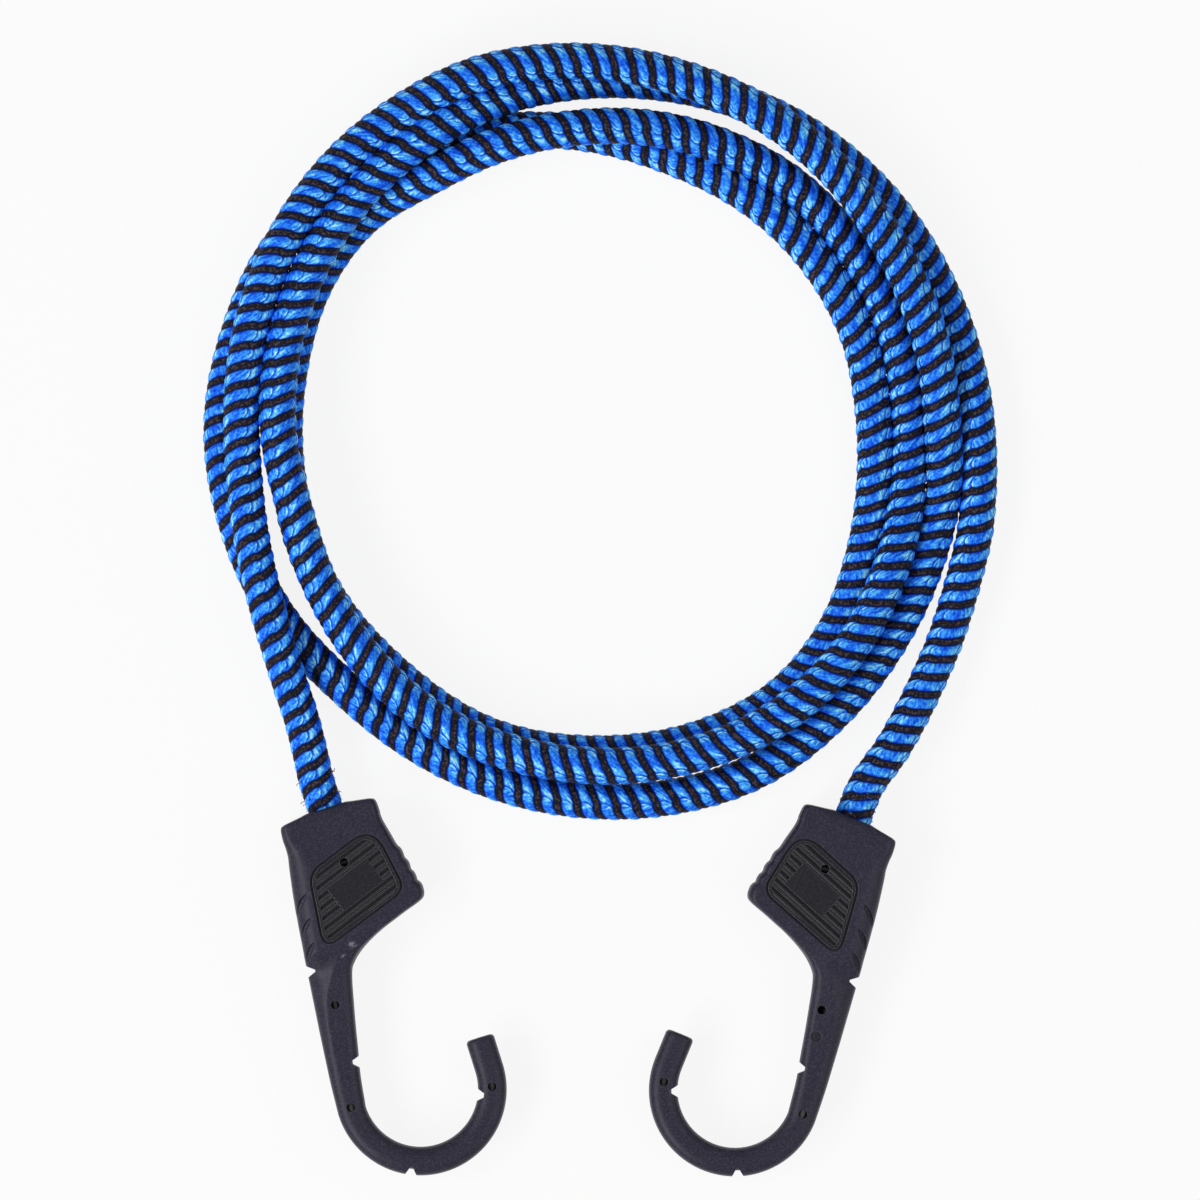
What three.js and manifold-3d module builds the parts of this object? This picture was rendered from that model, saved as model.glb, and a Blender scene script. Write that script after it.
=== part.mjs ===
// A bungee cord, coiled flat: a rubber cord in a braided sheath, with a plastic-covered steel hook
// on each end. Millimetres, +Z up. It lies on the plane z = 0. Seen from above, +X is to the right
// and the coil is on the +Y side. The origin is the middle of the box round the two hooks.
import * as THREE from "three";
import { mergeVertices } from "three/addons/utils/BufferGeometryUtils.js";
import Module from "manifold-3d";

const wasm = await Module();
wasm.setup();

// Gaps and overruns
const FIT = 0.3; // between two pieces that touch
const OVERRUN = 1; // how far a cutter runs past the face it cuts

// Cord
const CORD_DIAMETER = 8;
const SHEATH_WALL = 0.9;

// Where the coil's centre lies from the origin, and how each hook is turned in plan
const COIL_CENTRE = [2.71, 128.01];
const LEFT_TILT = 17.5; // degrees, the left hook's top edge rises to the right
const RIGHT_TILT = 22.2; // degrees, the right hook's rises to the left

// Hook, seen flat: its housing's shoulders are at y = 0, and the bend is at the bottom
const HOUSING_THICKNESS = 14;
const HOUSING_LENGTH = 36; // from the shoulders down to where the shank starts
const SHOULDER_WIDTH = 22.6;
const MOUTH_RISE = 0.95; // the mouth's rim above the shoulders
const BEND_DROP = 67.3; // from the shoulders down to the bend's centre
const BEND_OFFSET = 1.45; // the bend's centre to the right of the cord's axis
const BEND_RADIUS = 16.5; // to the middle of the bar
const BAR_WIDTH = 6.5;
const BAR_THICKNESS = 7;
const BAR_ROUND = 2;
const TIP_LENGTH = 7.3; // the straight end of the bar, above the bend's centre
const TIP_ROUND = 0.9;

// Steel inside the hook
const CORE_DIAMETER = 3.8;
const EYE_DROP = 16.8; // from the shoulders down to the centre of the core's eye
const EYE_OFFSET = 0.5;
const EYE_RADIUS = 4.6; // to the middle of the wire
const EYE_TURN = 275; // degrees, how far the wire goes round the eye
const TIP_WALL = 3; // plastic over the core's end at the tip
const FERRULE_DROP = 1.2; // from the shoulders down to the ferrule
const FERRULE_LENGTH = 7.4;
const FERRULE_WALL = 1.1;

// What the mould leaves in the plastic
const PIN_HOLE_DIAMETER = 2;
const NOTCH_DEPTH = 1.9;
const NOTCH_WIDTH = 2.6;
const PAD_DEPTH = 0.5;
const PAD_CORNER_RADIUS = 3;
const BORDER_WIDTH = 0.8;
const RIB_MARGIN = 0.9; // from the border to the ribs
const RIB_PITCH = 1.65;
const RIB_GROOVE = 0.65;
const RIB_SLOPE = 16.5; // degrees
const PLATE_LENGTH = 11.5; // the plain place amid the ribs
const PLATE_WIDTH = 6.2;
const FLUTE_LENGTH = 6;
const FLUTE_WIDTH = 0.9;
const FLUTE_DEPTH = 0.5;
const FLUTE_SLOPE = 40; // degrees

// Counts
const LOOP_STEPS = 24;
const LOOP_SIDES = 6;
const TAIL_SIDES = 8;
const DIAMETERS_PER_TAIL_STEP = 2;
const CORE_SIDES = 8;
const BORE_SIDES = 20;
const PIN_HOLE_SIDES = 10;
const CORNER_POINTS = 4;
const BEND_STEPS = 14;
const EYE_STEPS = 10;
const SHANK_STEPS = 6;
const TIP_STEPS = 2;
const MEASURES_PER_STEP = 4;

// The cord's route, chosen by eye: degrees clockwise round the coil's centre from the far side,
// then the radius there and the height of the cord's middle. It runs from the left hook to the
// right one. The rows before LOOPS_FROM and after LOOPS_TO are on the two tails.
const LOOPS_FROM = 226;
const LOOPS_TO = 1546;
const ROUTE = [
  [221, 100.9, 7.3], [226, 95.4, 8.1], [234, 90.1, 11.2], [240, 87.4, 12.8], [246, 85.3, 13.1],
  [254, 83.5, 12.3], [263, 82.4, 11.3], [272, 82.5, 11.3], [284, 83.4, 12.4], [300, 84.8, 12.9],
  [316, 86.1, 12.3], [328, 87, 12.8], [340, 87.4, 14], [350, 86.3, 12.9], [360, 84.9, 12.2],
  [375, 82.9, 12.6], [390, 81.8, 12.8], [405, 80.8, 12.2], [420, 79.5, 11.2], [440, 79.1, 9.8],
  [450, 79.2, 8], [460, 80.5, 5], [470, 81.6, 4.1], [485, 82.3, 4], [500, 84.3, 4],
  [515, 86.2, 4], [530, 85.9, 4], [550, 84.8, 4], [570, 83.7, 4], [585, 83.5, 4],
  [600, 85.3, 4], [615, 86.9, 4], [630, 87.6, 4], [645, 86.5, 4], [660, 85, 4],
  [675, 81.2, 4], [690, 76.6, 4], [705, 71.5, 4], [720, 67.4, 4], [735, 64.6, 4],
  [750, 63.1, 4], [770, 62.8, 4], [790, 62.5, 4], [805, 62.3, 4], [820, 63.3, 4],
  [835, 66.4, 4], [850, 70.6, 4], [865, 73.6, 4], [880, 74.3, 4], [900, 74, 4],
  [920, 74.4, 4], [940, 73.3, 4], [960, 73.4, 4], [980, 72.8, 4], [1000, 72.8, 4],
  [1018, 73.9, 4], [1032, 72.7, 4.8], [1046, 70, 9], [1060, 69.6, 12.3], [1074, 69.9, 12.8],
  [1090, 70.8, 11.4], [1104, 71.7, 8.2], [1118, 71.9, 5], [1135, 71.6, 4.1], [1150, 71.1, 4],
  [1168, 71, 4.3], [1180, 71.8, 5.2], [1190, 73.2, 7.6], [1200, 74.7, 10.2], [1215, 76.5, 11.9],
  [1230, 77.2, 12.3], [1250, 76.9, 12.3], [1270, 76.7, 12.5], [1290, 76.6, 12.3], [1305, 75.6, 12.6],
  [1320, 73.7, 12.8], [1335, 72.8, 12.8], [1350, 73.8, 12.7], [1365, 74.9, 12.6], [1380, 76.1, 12.6],
  [1392, 77.2, 12.6], [1402, 77.9, 12.9], [1412, 78.6, 12.8], [1422, 79.5, 9.4], [1434, 80.1, 5],
  [1450, 81, 4], [1470, 82.7, 4], [1490, 83.8, 4], [1510, 85, 4], [1530, 87.3, 4],
  [1546, 89.6, 4], [1560, 92.5, 4.2], [1566, 94.4, 4.8], [1572, 96.8, 5.8], [1577.5, 99.4, 6.7],
];
// Where the hooks' shoulders are, on the cord's axis: degrees and radius as above
const LEFT_SHOULDERS_ANGLE = 215.6;
const LEFT_SHOULDERS_RADIUS = 108;
const RIGHT_SHOULDERS_ANGLE = 1587.3;
const RIGHT_SHOULDERS_RADIUS = 107;

// Outline of the housing, row by row from the mouth's rim down to the shank. Each row: how far
// down as a share of HOUSING_LENGTH, the left and right edges as shares of SHOULDER_WIDTH, then
// the thickness and the rounding of its edges as shares of HOUSING_THICKNESS.
const HOUSING_SHARES = [
  [0, -0.465, 0.473, 0.93, 0.11],
  [0.012, -0.489, 0.5, 0.97, 0.13],
  [0.033, -0.5, 0.513, 1, 0.14],
  [0.1, -0.509, 0.522, 1, 0.14],
  [0.145, -0.502, 0.518, 1, 0.24],
  [0.25, -0.527, 0.553, 1, 0.26],
  [0.34, -0.553, 0.584, 1, 0.26],
  [0.367, -0.562, 0.613, 1, 0.26],
  [0.43, -0.58, 0.621, 1, 0.26],
  [0.472, -0.588, 0.648, 1, 0.26],
  [0.505, -0.595, 0.644, 1, 0.26],
  [0.533, -0.6, 0.67, 1, 0.26],
  [0.578, -0.608, 0.67, 1, 0.26],
  [0.606, -0.613, 0.699, 1, 0.26],
  [0.644, -0.62, 0.708, 1, 0.26],
  [0.686, -0.628, 0.697, 1, 0.26],
  [0.708, -0.633, 0.668, 1, 0.25],
  [0.722, -0.635, 0.624, 1, 0.24],
  [0.742, -0.639, 0.535, 1, 0.23],
  [0.772, -0.644, 0.394, 1, 0.22],
  [0.8, -0.65, 0.27, 0.99, 0.21],
  [0.833, -0.657, 0.133, 0.95, 0.2],
  [0.861, -0.662, 0.044, 0.92, 0.19],
  [0.889, -0.666, -0.035, 0.88, 0.19],
  [0.917, -0.67, -0.102, 0.84, 0.18],
  [0.958, -0.677, -0.177, 0.78, 0.18],
  [1, -0.684, -0.226, 0.73, 0.18],
];
// The mouth's rim, above the first row: shares of MOUTH_RISE, SHOULDER_WIDTH and thickness
const RIM_SHARES = [
  [1, -0.208, 0.221, 0.74, 0.07],
  [0.55, -0.3, 0.318, 0.87, 0.1],
];
// How quickly the shank's edges and thickness run from the housing's values to the bar's
const SHANK_EASE_SHARES = { outer: 1.15, inner: 1.3, thickness: 2 };

// Where the mould's pins held the core, beside those on the bend: shares of HOUSING_LENGTH down
const CORE_WAY_SHARES = [
  [1.19, -0.502],
  [0.93, -0.478],
  [0.72, -0.372],
];
// The pad's corners: shares of SHOULDER_WIDTH across and HOUSING_LENGTH down
const PAD_CORNER_SHARES = [
  [-0.352, 0.342],
  [0.41, 0.198],
  [0.518, 0.592],
  [-0.414, 0.795],
];
const PLATE_CENTRE_SHARES = [0.055, 0.478];
const FLUTE_SHARES = [[-0.53, 0.5], [-0.545, 0.652], [-0.57, 0.8]];
// Turns about the bend's centre, in degrees, of the pin holes and notches on the bend
const BEND_PIN_ANGLES = [177, -15];
const INNER_NOTCH_ANGLE = -23;
const OUTER_NOTCH_ANGLE = -114;
const HOUSING_NOTCH_SHARE = 0.925; // of HOUSING_LENGTH, on the outer edge
const SHANK_NOTCH_SHARE = 0.67; // of the way from the shank's start to the bend, on the inner edge

const CORD_RADIUS = CORD_DIAMETER / 2;
const SHEATH_BORE_RADIUS = CORD_RADIUS - SHEATH_WALL;
const RUBBER_RADIUS = SHEATH_BORE_RADIUS - FIT / Math.cos(Math.PI / LOOP_SIDES);
const FERRULE_BORE_RADIUS = CORD_RADIUS + FIT;
const FERRULE_RADIUS = FERRULE_BORE_RADIUS + FERRULE_WALL;
const HALF_THICKNESS = HOUSING_THICKNESS / 2;
const UP = new THREE.Vector3(0, 0, 1);
const rad = THREE.MathUtils.degToRad;

const materials = {
  braid: new THREE.MeshStandardMaterial({ color: 0x1f6fe0, roughness: 0.75, metalness: 0 }),
  rubber: new THREE.MeshStandardMaterial({ color: 0xc9b48a, roughness: 0.8, metalness: 0 }),
  plastic: new THREE.MeshStandardMaterial({ color: 0x2b2a33, roughness: 0.6, metalness: 0 }),
  steel: new THREE.MeshStandardMaterial({ color: 0xa9acb0, roughness: 0.35, metalness: 1 }),
};

// Solids

function solidOf(geometry) {
  const bare = new THREE.BufferGeometry();
  bare.setAttribute("position", geometry.getAttribute("position"));
  bare.setIndex(geometry.index);
  const merged = mergeVertices(bare);
  return new wasm.Manifold(
    new wasm.Mesh({
      numProp: 3,
      vertProperties: new Float32Array(merged.getAttribute("position").array),
      triVerts: new Uint32Array(merged.index.array),
    }),
  );
}

function geometryOf(solid) {
  const mesh = solid.getMesh();
  const geometry = new THREE.BufferGeometry();
  geometry.setAttribute("position", new THREE.BufferAttribute(new Float32Array(mesh.vertProperties), 3));
  geometry.setIndex(new THREE.BufferAttribute(new Uint32Array(mesh.triVerts), 1));
  return geometry;
}

function join(solids) {
  return solids.reduce((whole, solid) => whole.add(solid));
}

// A closed skin over rings of points, all of one count, with a flat face at each end
function skin(rings) {
  const count = rings[0].length;
  const points = rings.flat();
  const faces = [];
  const last = (rings.length - 1) * count;
  for (let ring = 0; ring < last; ring += count)
    for (let i = 0; i < count; i++) {
      const next = (i + 1) % count;
      faces.push(ring + i, ring + next, ring + count + next);
      faces.push(ring + i, ring + count + next, ring + count + i);
    }
  for (let i = 1; i < count - 1; i++) {
    faces.push(0, i + 1, i);
    faces.push(last, last + i, last + i + 1);
  }
  return new THREE.BufferGeometry().setFromPoints(points).setIndex(faces);
}

// A hollow skin between an outer and an inner set of rings, with a flat ring at each end
function hollowSkin(outer, inner) {
  const count = outer[0].length;
  const inside = outer.length * count;
  const last = (outer.length - 1) * count;
  const faces = [];
  const quad = (a, b, c, d) => faces.push(a, b, c, a, c, d);
  for (let i = 0; i < count; i++) {
    const next = (i + 1) % count;
    for (let ring = 0; ring < last; ring += count) {
      quad(ring + i, ring + next, ring + count + next, ring + count + i);
      const within = inside + ring;
      quad(within + next, within + i, within + count + i, within + count + next);
    }
    quad(next, i, inside + i, inside + next);
    quad(last + i, last + next, inside + last + next, inside + last + i);
  }
  return new THREE.BufferGeometry().setFromPoints([...outer.flat(), ...inner.flat()]).setIndex(faces);
}

// One ring of points about each point of a path, square to the path, the first point straight down
function ringsAlong(path, radius, sides) {
  return path.map((point, i) => {
    const before = path[Math.max(i - 1, 0)];
    const after = path[Math.min(i + 1, path.length - 1)];
    const along = after.clone().sub(before).normalize();
    const across = new THREE.Vector3().crossVectors(along, UP).normalize();
    const upward = new THREE.Vector3().crossVectors(across, along);
    return Array.from({ length: sides }, (_, side) => {
      const turn = (2 * Math.PI * side) / sides;
      return point.clone()
        .addScaledVector(upward, -radius * Math.cos(turn))
        .addScaledVector(across, -radius * Math.sin(turn));
    });
  });
}

function polygon(radius, sides) {
  return Array.from({ length: sides }, (_, side) => {
    const turn = (2 * Math.PI * (side + 0.5)) / sides;
    return new THREE.Vector2(radius * Math.cos(turn), radius * Math.sin(turn));
  });
}

// A flat outline made a solid from one height to another
function prism(outline, low, high) {
  const geometry = new THREE.ExtrudeGeometry(new THREE.Shape(outline), {
    depth: high - low,
    bevelEnabled: false,
  });
  return solidOf(geometry.translate(0, 0, low));
}

// The cord's route

function routeAt(degrees) {
  const last = ROUTE.length - 1;
  const after = ROUTE.findIndex((point) => point[0] > degrees);
  const i = after < 0 ? last - 1 : Math.max(after - 1, 0);
  const slope = (point, k) => {
    const before = ROUTE[Math.max(point - 1, 0)];
    const beyond = ROUTE[Math.min(point + 1, last)];
    return (beyond[k] - before[k]) / (beyond[0] - before[0]);
  };
  const [start, end] = [ROUTE[i], ROUTE[i + 1]];
  const span = end[0] - start[0];
  const t = (degrees - start[0]) / span;
  const between = (k) =>
    (2 * t ** 3 - 3 * t ** 2 + 1) * start[k] + (t ** 3 - 2 * t ** 2 + t) * span * slope(i, k) +
    (3 * t ** 2 - 2 * t ** 3) * end[k] + (t ** 3 - t ** 2) * span * slope(i + 1, k);
  return atPlace(degrees, between(1), between(2));
}

function atPlace(degrees, radius, height) {
  const [x, y] = COIL_CENTRE;
  const turn = rad(degrees);
  return new THREE.Vector3(x + radius * Math.sin(turn), y + radius * Math.cos(turn), height);
}

// One end of the cord: where the hook's shoulders are, and the way the cord leaves it
const ends = {
  left: {
    shoulders: atPlace(LEFT_SHOULDERS_ANGLE, LEFT_SHOULDERS_RADIUS, HALF_THICKNESS),
    away: new THREE.Vector3(-Math.sin(rad(LEFT_TILT)), Math.cos(rad(LEFT_TILT)), 0),
  },
  right: {
    shoulders: atPlace(RIGHT_SHOULDERS_ANGLE, RIGHT_SHOULDERS_RADIUS, HALF_THICKNESS),
    away: new THREE.Vector3(Math.sin(rad(RIGHT_TILT)), Math.cos(rad(RIGHT_TILT)), 0),
  },
};

function coilPath() {
  const degrees = LOOPS_TO - LOOPS_FROM;
  const steps = Math.round((degrees / 360) * LOOP_STEPS);
  return Array.from({ length: steps + 1 }, (_, i) => routeAt(LOOPS_FROM + (degrees * i) / steps));
}

// From inside the hook, straight out of its mouth for a diameter, then over the route's own rows
// to the loops, which it meets straight on
function tailCurve(end, rows, loopsEnd, loopsNext) {
  const out = (distance) => end.shoulders.clone().addScaledVector(end.away, distance);
  const intoLoops = loopsNext.clone().sub(loopsEnd).normalize();
  const beforeLoops = (distance) => loopsEnd.clone().addScaledVector(intoLoops, -distance);
  return new THREE.CatmullRomCurve3([
    out(-FERRULE_DROP - FERRULE_LENGTH),
    out(MOUTH_RISE),
    out(MOUTH_RISE + CORD_DIAMETER),
    ...rows.map((row) => atPlace(...row)),
    beforeLoops(FIT + CORD_DIAMETER),
    beforeLoops(FIT),
  ]);
}

function tailTube(curve, radius, boreRadius) {
  const section = new THREE.Shape(polygon(radius, TAIL_SIDES));
  if (boreRadius > 0) section.holes.push(new THREE.Path(polygon(boreRadius, TAIL_SIDES)));
  return new THREE.ExtrudeGeometry(section, {
    steps: Math.ceil(curve.getLength() / (DIAMETERS_PER_TAIL_STEP * CORD_DIAMETER)),
    extrudePath: curve,
    bevelEnabled: false,
  });
}

// Steel

// A point at some turn round a centre in the hook's own plane
function around(x, y, radius, turn) {
  return new THREE.Vector3(x + radius * Math.cos(turn), y + radius * Math.sin(turn), 0);
}

function onBend(radius, turn) {
  return around(BEND_OFFSET, -BEND_DROP, radius, turn);
}

function onEye(turn) {
  return around(EYE_OFFSET, -EYE_DROP, EYE_RADIUS, turn);
}

// The core's line: from the tip round the bend, up the shank, and round the eye
function coreLine() {
  const points = [onBend(BEND_RADIUS, 0).add(new THREE.Vector3(0, TIP_LENGTH - TIP_WALL, 0))];
  for (let i = 0; i <= BEND_STEPS; i++)
    points.push(onBend(BEND_RADIUS, (-Math.PI * i) / BEND_STEPS));
  for (const [down, across] of CORE_WAY_SHARES)
    points.push(new THREE.Vector3(across * SHOULDER_WIDTH, -down * HOUSING_LENGTH, 0));
  for (let i = 0; i <= EYE_STEPS; i++)
    points.push(onEye(Math.PI - (rad(EYE_TURN) * i) / EYE_STEPS));
  return points;
}

function coreGeometry(radius, extraLength) {
  const path = coreLine();
  const lengthen = (end, next) => end.add(end.clone().sub(next).setLength(extraLength));
  if (extraLength > 0) {
    lengthen(path[0], path[1]);
    lengthen(path[path.length - 1], path[path.length - 2]);
  }
  return skin(ringsAlong(path, radius, CORE_SIDES));
}

// A ring about the cord's axis, which is the hook's own y axis
function ferruleGeometry() {
  const [top, bottom] = [-FERRULE_DROP, -FERRULE_DROP - FERRULE_LENGTH];
  const profile = [
    new THREE.Vector2(FERRULE_BORE_RADIUS, bottom),
    new THREE.Vector2(FERRULE_RADIUS, bottom),
    new THREE.Vector2(FERRULE_RADIUS, top),
    new THREE.Vector2(FERRULE_BORE_RADIUS, top),
    new THREE.Vector2(FERRULE_BORE_RADIUS, bottom),
  ];
  return new THREE.LatheGeometry(profile, BORE_SIDES);
}

// Plastic

// A rounded rectangle of points, its width along "across" and its thickness upright
function barRing(centre, across, width, thickness, round) {
  const ring = [];
  const corners = [[1, 1, 0], [-1, 1, 1], [-1, -1, 2], [1, -1, 3]];
  for (const [sideX, sideZ, quarter] of corners)
    for (let i = 0; i < CORNER_POINTS; i++) {
      const turn = (Math.PI / 2) * (quarter + i / (CORNER_POINTS - 1));
      const x = sideX * (width / 2 - round) + round * Math.cos(turn);
      const z = sideZ * (thickness / 2 - round) + round * Math.sin(turn);
      ring.push(centre.clone().addScaledVector(across, x).addScaledVector(UP, z));
    }
  return ring;
}

function flatRing(left, right, y, thickness, round) {
  const centre = new THREE.Vector3((left + right) / 2, y, 0);
  return barRing(centre, new THREE.Vector3(1, 0, 0), right - left, thickness, round);
}

function ease(from, to, along, power) {
  return from + (to - from) * (1 - (1 - along) ** power);
}

// The shank's edges at a share of the way from the housing to the bend
function shankAt(along) {
  const [, left, right, thickness, round] = HOUSING_SHARES[HOUSING_SHARES.length - 1];
  const outer = BEND_OFFSET - BEND_RADIUS - BAR_WIDTH / 2;
  return {
    left: ease(left * SHOULDER_WIDTH, outer, along, SHANK_EASE_SHARES.outer),
    right: ease(right * SHOULDER_WIDTH, outer + BAR_WIDTH, along, SHANK_EASE_SHARES.inner),
    thickness: ease(thickness * HOUSING_THICKNESS, BAR_THICKNESS, along, SHANK_EASE_SHARES.thickness),
    round: ease(round * HOUSING_THICKNESS, BAR_ROUND, along, 1),
    y: -HOUSING_LENGTH - (BEND_DROP - HOUSING_LENGTH) * along,
  };
}

function coverSkin() {
  const housingRow = (y, [, left, right, thickness, round]) =>
    flatRing(
      left * SHOULDER_WIDTH,
      right * SHOULDER_WIDTH,
      y,
      thickness * HOUSING_THICKNESS,
      round * HOUSING_THICKNESS,
    );
  const rings = [
    ...RIM_SHARES.map((row) => housingRow(row[0] * MOUTH_RISE, row)),
    ...HOUSING_SHARES.map((row) => housingRow(-row[0] * HOUSING_LENGTH, row)),
  ];
  for (let i = 1; i < SHANK_STEPS; i++) {
    const at = shankAt(i / SHANK_STEPS);
    rings.push(flatRing(at.left, at.right, at.y, at.thickness, at.round));
  }
  for (let i = 0; i <= BEND_STEPS; i++) {
    const turn = Math.PI * (1 + i / BEND_STEPS);
    const inward = new THREE.Vector3(-Math.cos(turn), -Math.sin(turn), 0);
    rings.push(barRing(onBend(BEND_RADIUS, turn), inward, BAR_WIDTH, BAR_THICKNESS, BAR_ROUND));
  }
  for (let i = 0; i <= TIP_STEPS; i++) {
    const turn = (Math.PI / 2) * (i / TIP_STEPS);
    const cut = TIP_ROUND * (1 - Math.cos(turn));
    const centre = onBend(BEND_RADIUS, 0);
    centre.y += TIP_LENGTH - TIP_ROUND + TIP_ROUND * Math.sin(turn);
    const inward = new THREE.Vector3(-1, 0, 0);
    rings.push(barRing(centre, inward, BAR_WIDTH - 2 * cut, BAR_THICKNESS - 2 * cut, BAR_ROUND - cut));
  }
  return skin(rings);
}

// A hole through both faces where a pin of the mould held the core
function pinHole({ x, y }) {
  const radius = PIN_HOLE_DIAMETER / 2;
  const hole = new THREE.CylinderGeometry(radius, radius, HOUSING_THICKNESS + 2 * OVERRUN, PIN_HOLE_SIDES);
  return solidOf(hole.rotateX(Math.PI / 2).translate(x, y, 0));
}

// A V cut through an edge, from the edge's point inwards
function notch({ x, y }, inwardTurn) {
  const inward = new THREE.Vector2(Math.cos(inwardTurn), Math.sin(inwardTurn));
  const beside = new THREE.Vector2(-inward.y, inward.x);
  const edge = new THREE.Vector2(x, y);
  const start = edge.clone().addScaledVector(inward, -OVERRUN);
  const halfWidth = (NOTCH_WIDTH / 2) * (1 + OVERRUN / NOTCH_DEPTH);
  const outline = [
    edge.clone().addScaledVector(inward, NOTCH_DEPTH),
    start.clone().addScaledVector(beside, halfWidth),
    start.clone().addScaledVector(beside, -halfWidth),
  ];
  return prism(outline, -HALF_THICKNESS - OVERRUN, HALF_THICKNESS + OVERRUN);
}

function notches() {
  const [, left] = HOUSING_SHARES[HOUSING_SHARES.length - 2];
  const shank = shankAt(SHANK_NOTCH_SHARE);
  const [inner, outer] = [rad(INNER_NOTCH_ANGLE), rad(OUTER_NOTCH_ANGLE)];
  return [
    notch({ x: left * SHOULDER_WIDTH, y: -HOUSING_NOTCH_SHARE * HOUSING_LENGTH }, 0),
    notch({ x: shank.right, y: shank.y }, Math.PI),
    notch(onBend(BEND_RADIUS - BAR_WIDTH / 2, inner), inner),
    notch(onBend(BEND_RADIUS + BAR_WIDTH / 2, outer), outer + Math.PI),
  ];
}

// A convex outline moved inwards by a distance
function inset(corners, distance) {
  const sides = corners.map((corner, i) => {
    const next = corners[(i + 1) % corners.length];
    const along = next.clone().sub(corner).normalize();
    const inward = new THREE.Vector2(along.y, -along.x);
    return { start: corner.clone().addScaledVector(inward, distance), along };
  });
  return sides.map((side, i) => {
    const before = sides[(i + sides.length - 1) % sides.length];
    const gap = side.start.clone().sub(before.start);
    const t = gap.cross(side.along) / before.along.cross(side.along);
    return before.start.clone().addScaledVector(before.along, t);
  });
}

function roundedOutline(corners, radius) {
  const outline = [];
  corners.forEach((corner, i) => {
    const before = corners[(i + corners.length - 1) % corners.length];
    const after = corners[(i + 1) % corners.length];
    const back = before.clone().sub(corner).normalize();
    const on = after.clone().sub(corner).normalize();
    const reach = radius / Math.tan(Math.acos(back.dot(on)) / 2);
    const curve = new THREE.QuadraticBezierCurve(
      corner.clone().addScaledVector(back, reach), corner, corner.clone().addScaledVector(on, reach));
    outline.push(...curve.getPoints(CORNER_POINTS));
  });
  return outline;
}

// A box centred on the housing's upper face, turned in plan
function box([width, length, depth], turnDegrees, x, y) {
  const geometry = new THREE.BoxGeometry(width, length, depth);
  return solidOf(geometry.rotateZ(rad(turnDegrees)).translate(x, y, HALF_THICKNESS));
}

// The grip pad pressed into each face: a border, and grooves between ribs round a plain place
function padCutter() {
  const corners = PAD_CORNER_SHARES.map(([across, down]) =>
    new THREE.Vector2(across * SHOULDER_WIDTH, -down * HOUSING_LENGTH));
  const [low, high] = [HALF_THICKNESS - PAD_DEPTH, HALF_THICKNESS + OVERRUN];
  const innerRadius = PAD_CORNER_RADIUS - BORDER_WIDTH;
  const insideBorder = roundedOutline(inset(corners, BORDER_WIDTH), innerRadius);
  const border = prism(roundedOutline(corners, PAD_CORNER_RADIUS), low, high)
    .subtract(prism(insideBorder, low - OVERRUN, high + OVERRUN));
  const field = prism(roundedOutline(inset(corners, BORDER_WIDTH + RIB_MARGIN), innerRadius), low, high);
  const plateX = PLATE_CENTRE_SHARES[0] * SHOULDER_WIDTH;
  const plateY = -PLATE_CENTRE_SHARES[1] * HOUSING_LENGTH;
  const [slopeX, slopeY] = [Math.sin(rad(RIB_SLOPE)), Math.cos(rad(RIB_SLOPE))];
  const grooves = [];
  const most = Math.floor(HOUSING_LENGTH / 2 / RIB_PITCH);
  for (let i = -most; i <= most; i++) {
    const shift = (i + 0.5) * RIB_PITCH;
    const groove = [2 * SHOULDER_WIDTH, RIB_GROOVE, 2 * OVERRUN + 2 * PAD_DEPTH];
    grooves.push(box(groove, RIB_SLOPE, plateX - shift * slopeX, plateY + shift * slopeY));
  }
  const plate = box([PLATE_LENGTH, PLATE_WIDTH, HOUSING_THICKNESS], RIB_SLOPE, plateX, plateY);
  return border.add(join(grooves).intersect(field).subtract(plate));
}

// Short slanted grooves where the fingers curl round the housing's outer edge
function fluteCutter() {
  const flute = [FLUTE_LENGTH, FLUTE_WIDTH, 2 * FLUTE_DEPTH];
  return join(FLUTE_SHARES.map(([across, down]) =>
    box(flute, FLUTE_SLOPE, across * SHOULDER_WIDTH, -down * HOUSING_LENGTH)));
}

// Room for the cord and its ferrule, open at the mouth
function cordRoom() {
  const pocketTop = FIT - FERRULE_DROP;
  const pocketBottom = -FERRULE_DROP - FERRULE_LENGTH - FIT;
  const boreRadius = CORD_RADIUS + FIT;
  const pocketRadius = FERRULE_RADIUS + FIT;
  const profile = [
    new THREE.Vector2(0, pocketBottom),
    new THREE.Vector2(pocketRadius, pocketBottom),
    new THREE.Vector2(pocketRadius, pocketTop),
    new THREE.Vector2(boreRadius, pocketTop),
    new THREE.Vector2(boreRadius, MOUTH_RISE + OVERRUN),
    new THREE.Vector2(0, MOUTH_RISE + OVERRUN),
  ];
  return solidOf(new THREE.LatheGeometry(profile, BORE_SIDES));
}

function coverGeometry() {
  const face = padCutter().add(fluteCutter());
  const [down, across] = CORE_WAY_SHARES[0];
  const cuts = [
    face,
    face.mirror([0, 0, 1]),
    cordRoom(),
    solidOf(coreGeometry(CORE_DIAMETER / 2 + FIT, FIT)),
    pinHole(onEye(Math.PI / 2)),
    pinHole({ x: across * SHOULDER_WIDTH, y: -down * HOUSING_LENGTH }),
    ...BEND_PIN_ANGLES.map((degrees) => pinHole(onBend(BEND_RADIUS, rad(degrees)))),
    ...notches(),
  ];
  return geometryOf(solidOf(coverSkin()).subtract(join(cuts)));
}

// The measure of the cord's clearance to itself

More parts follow.
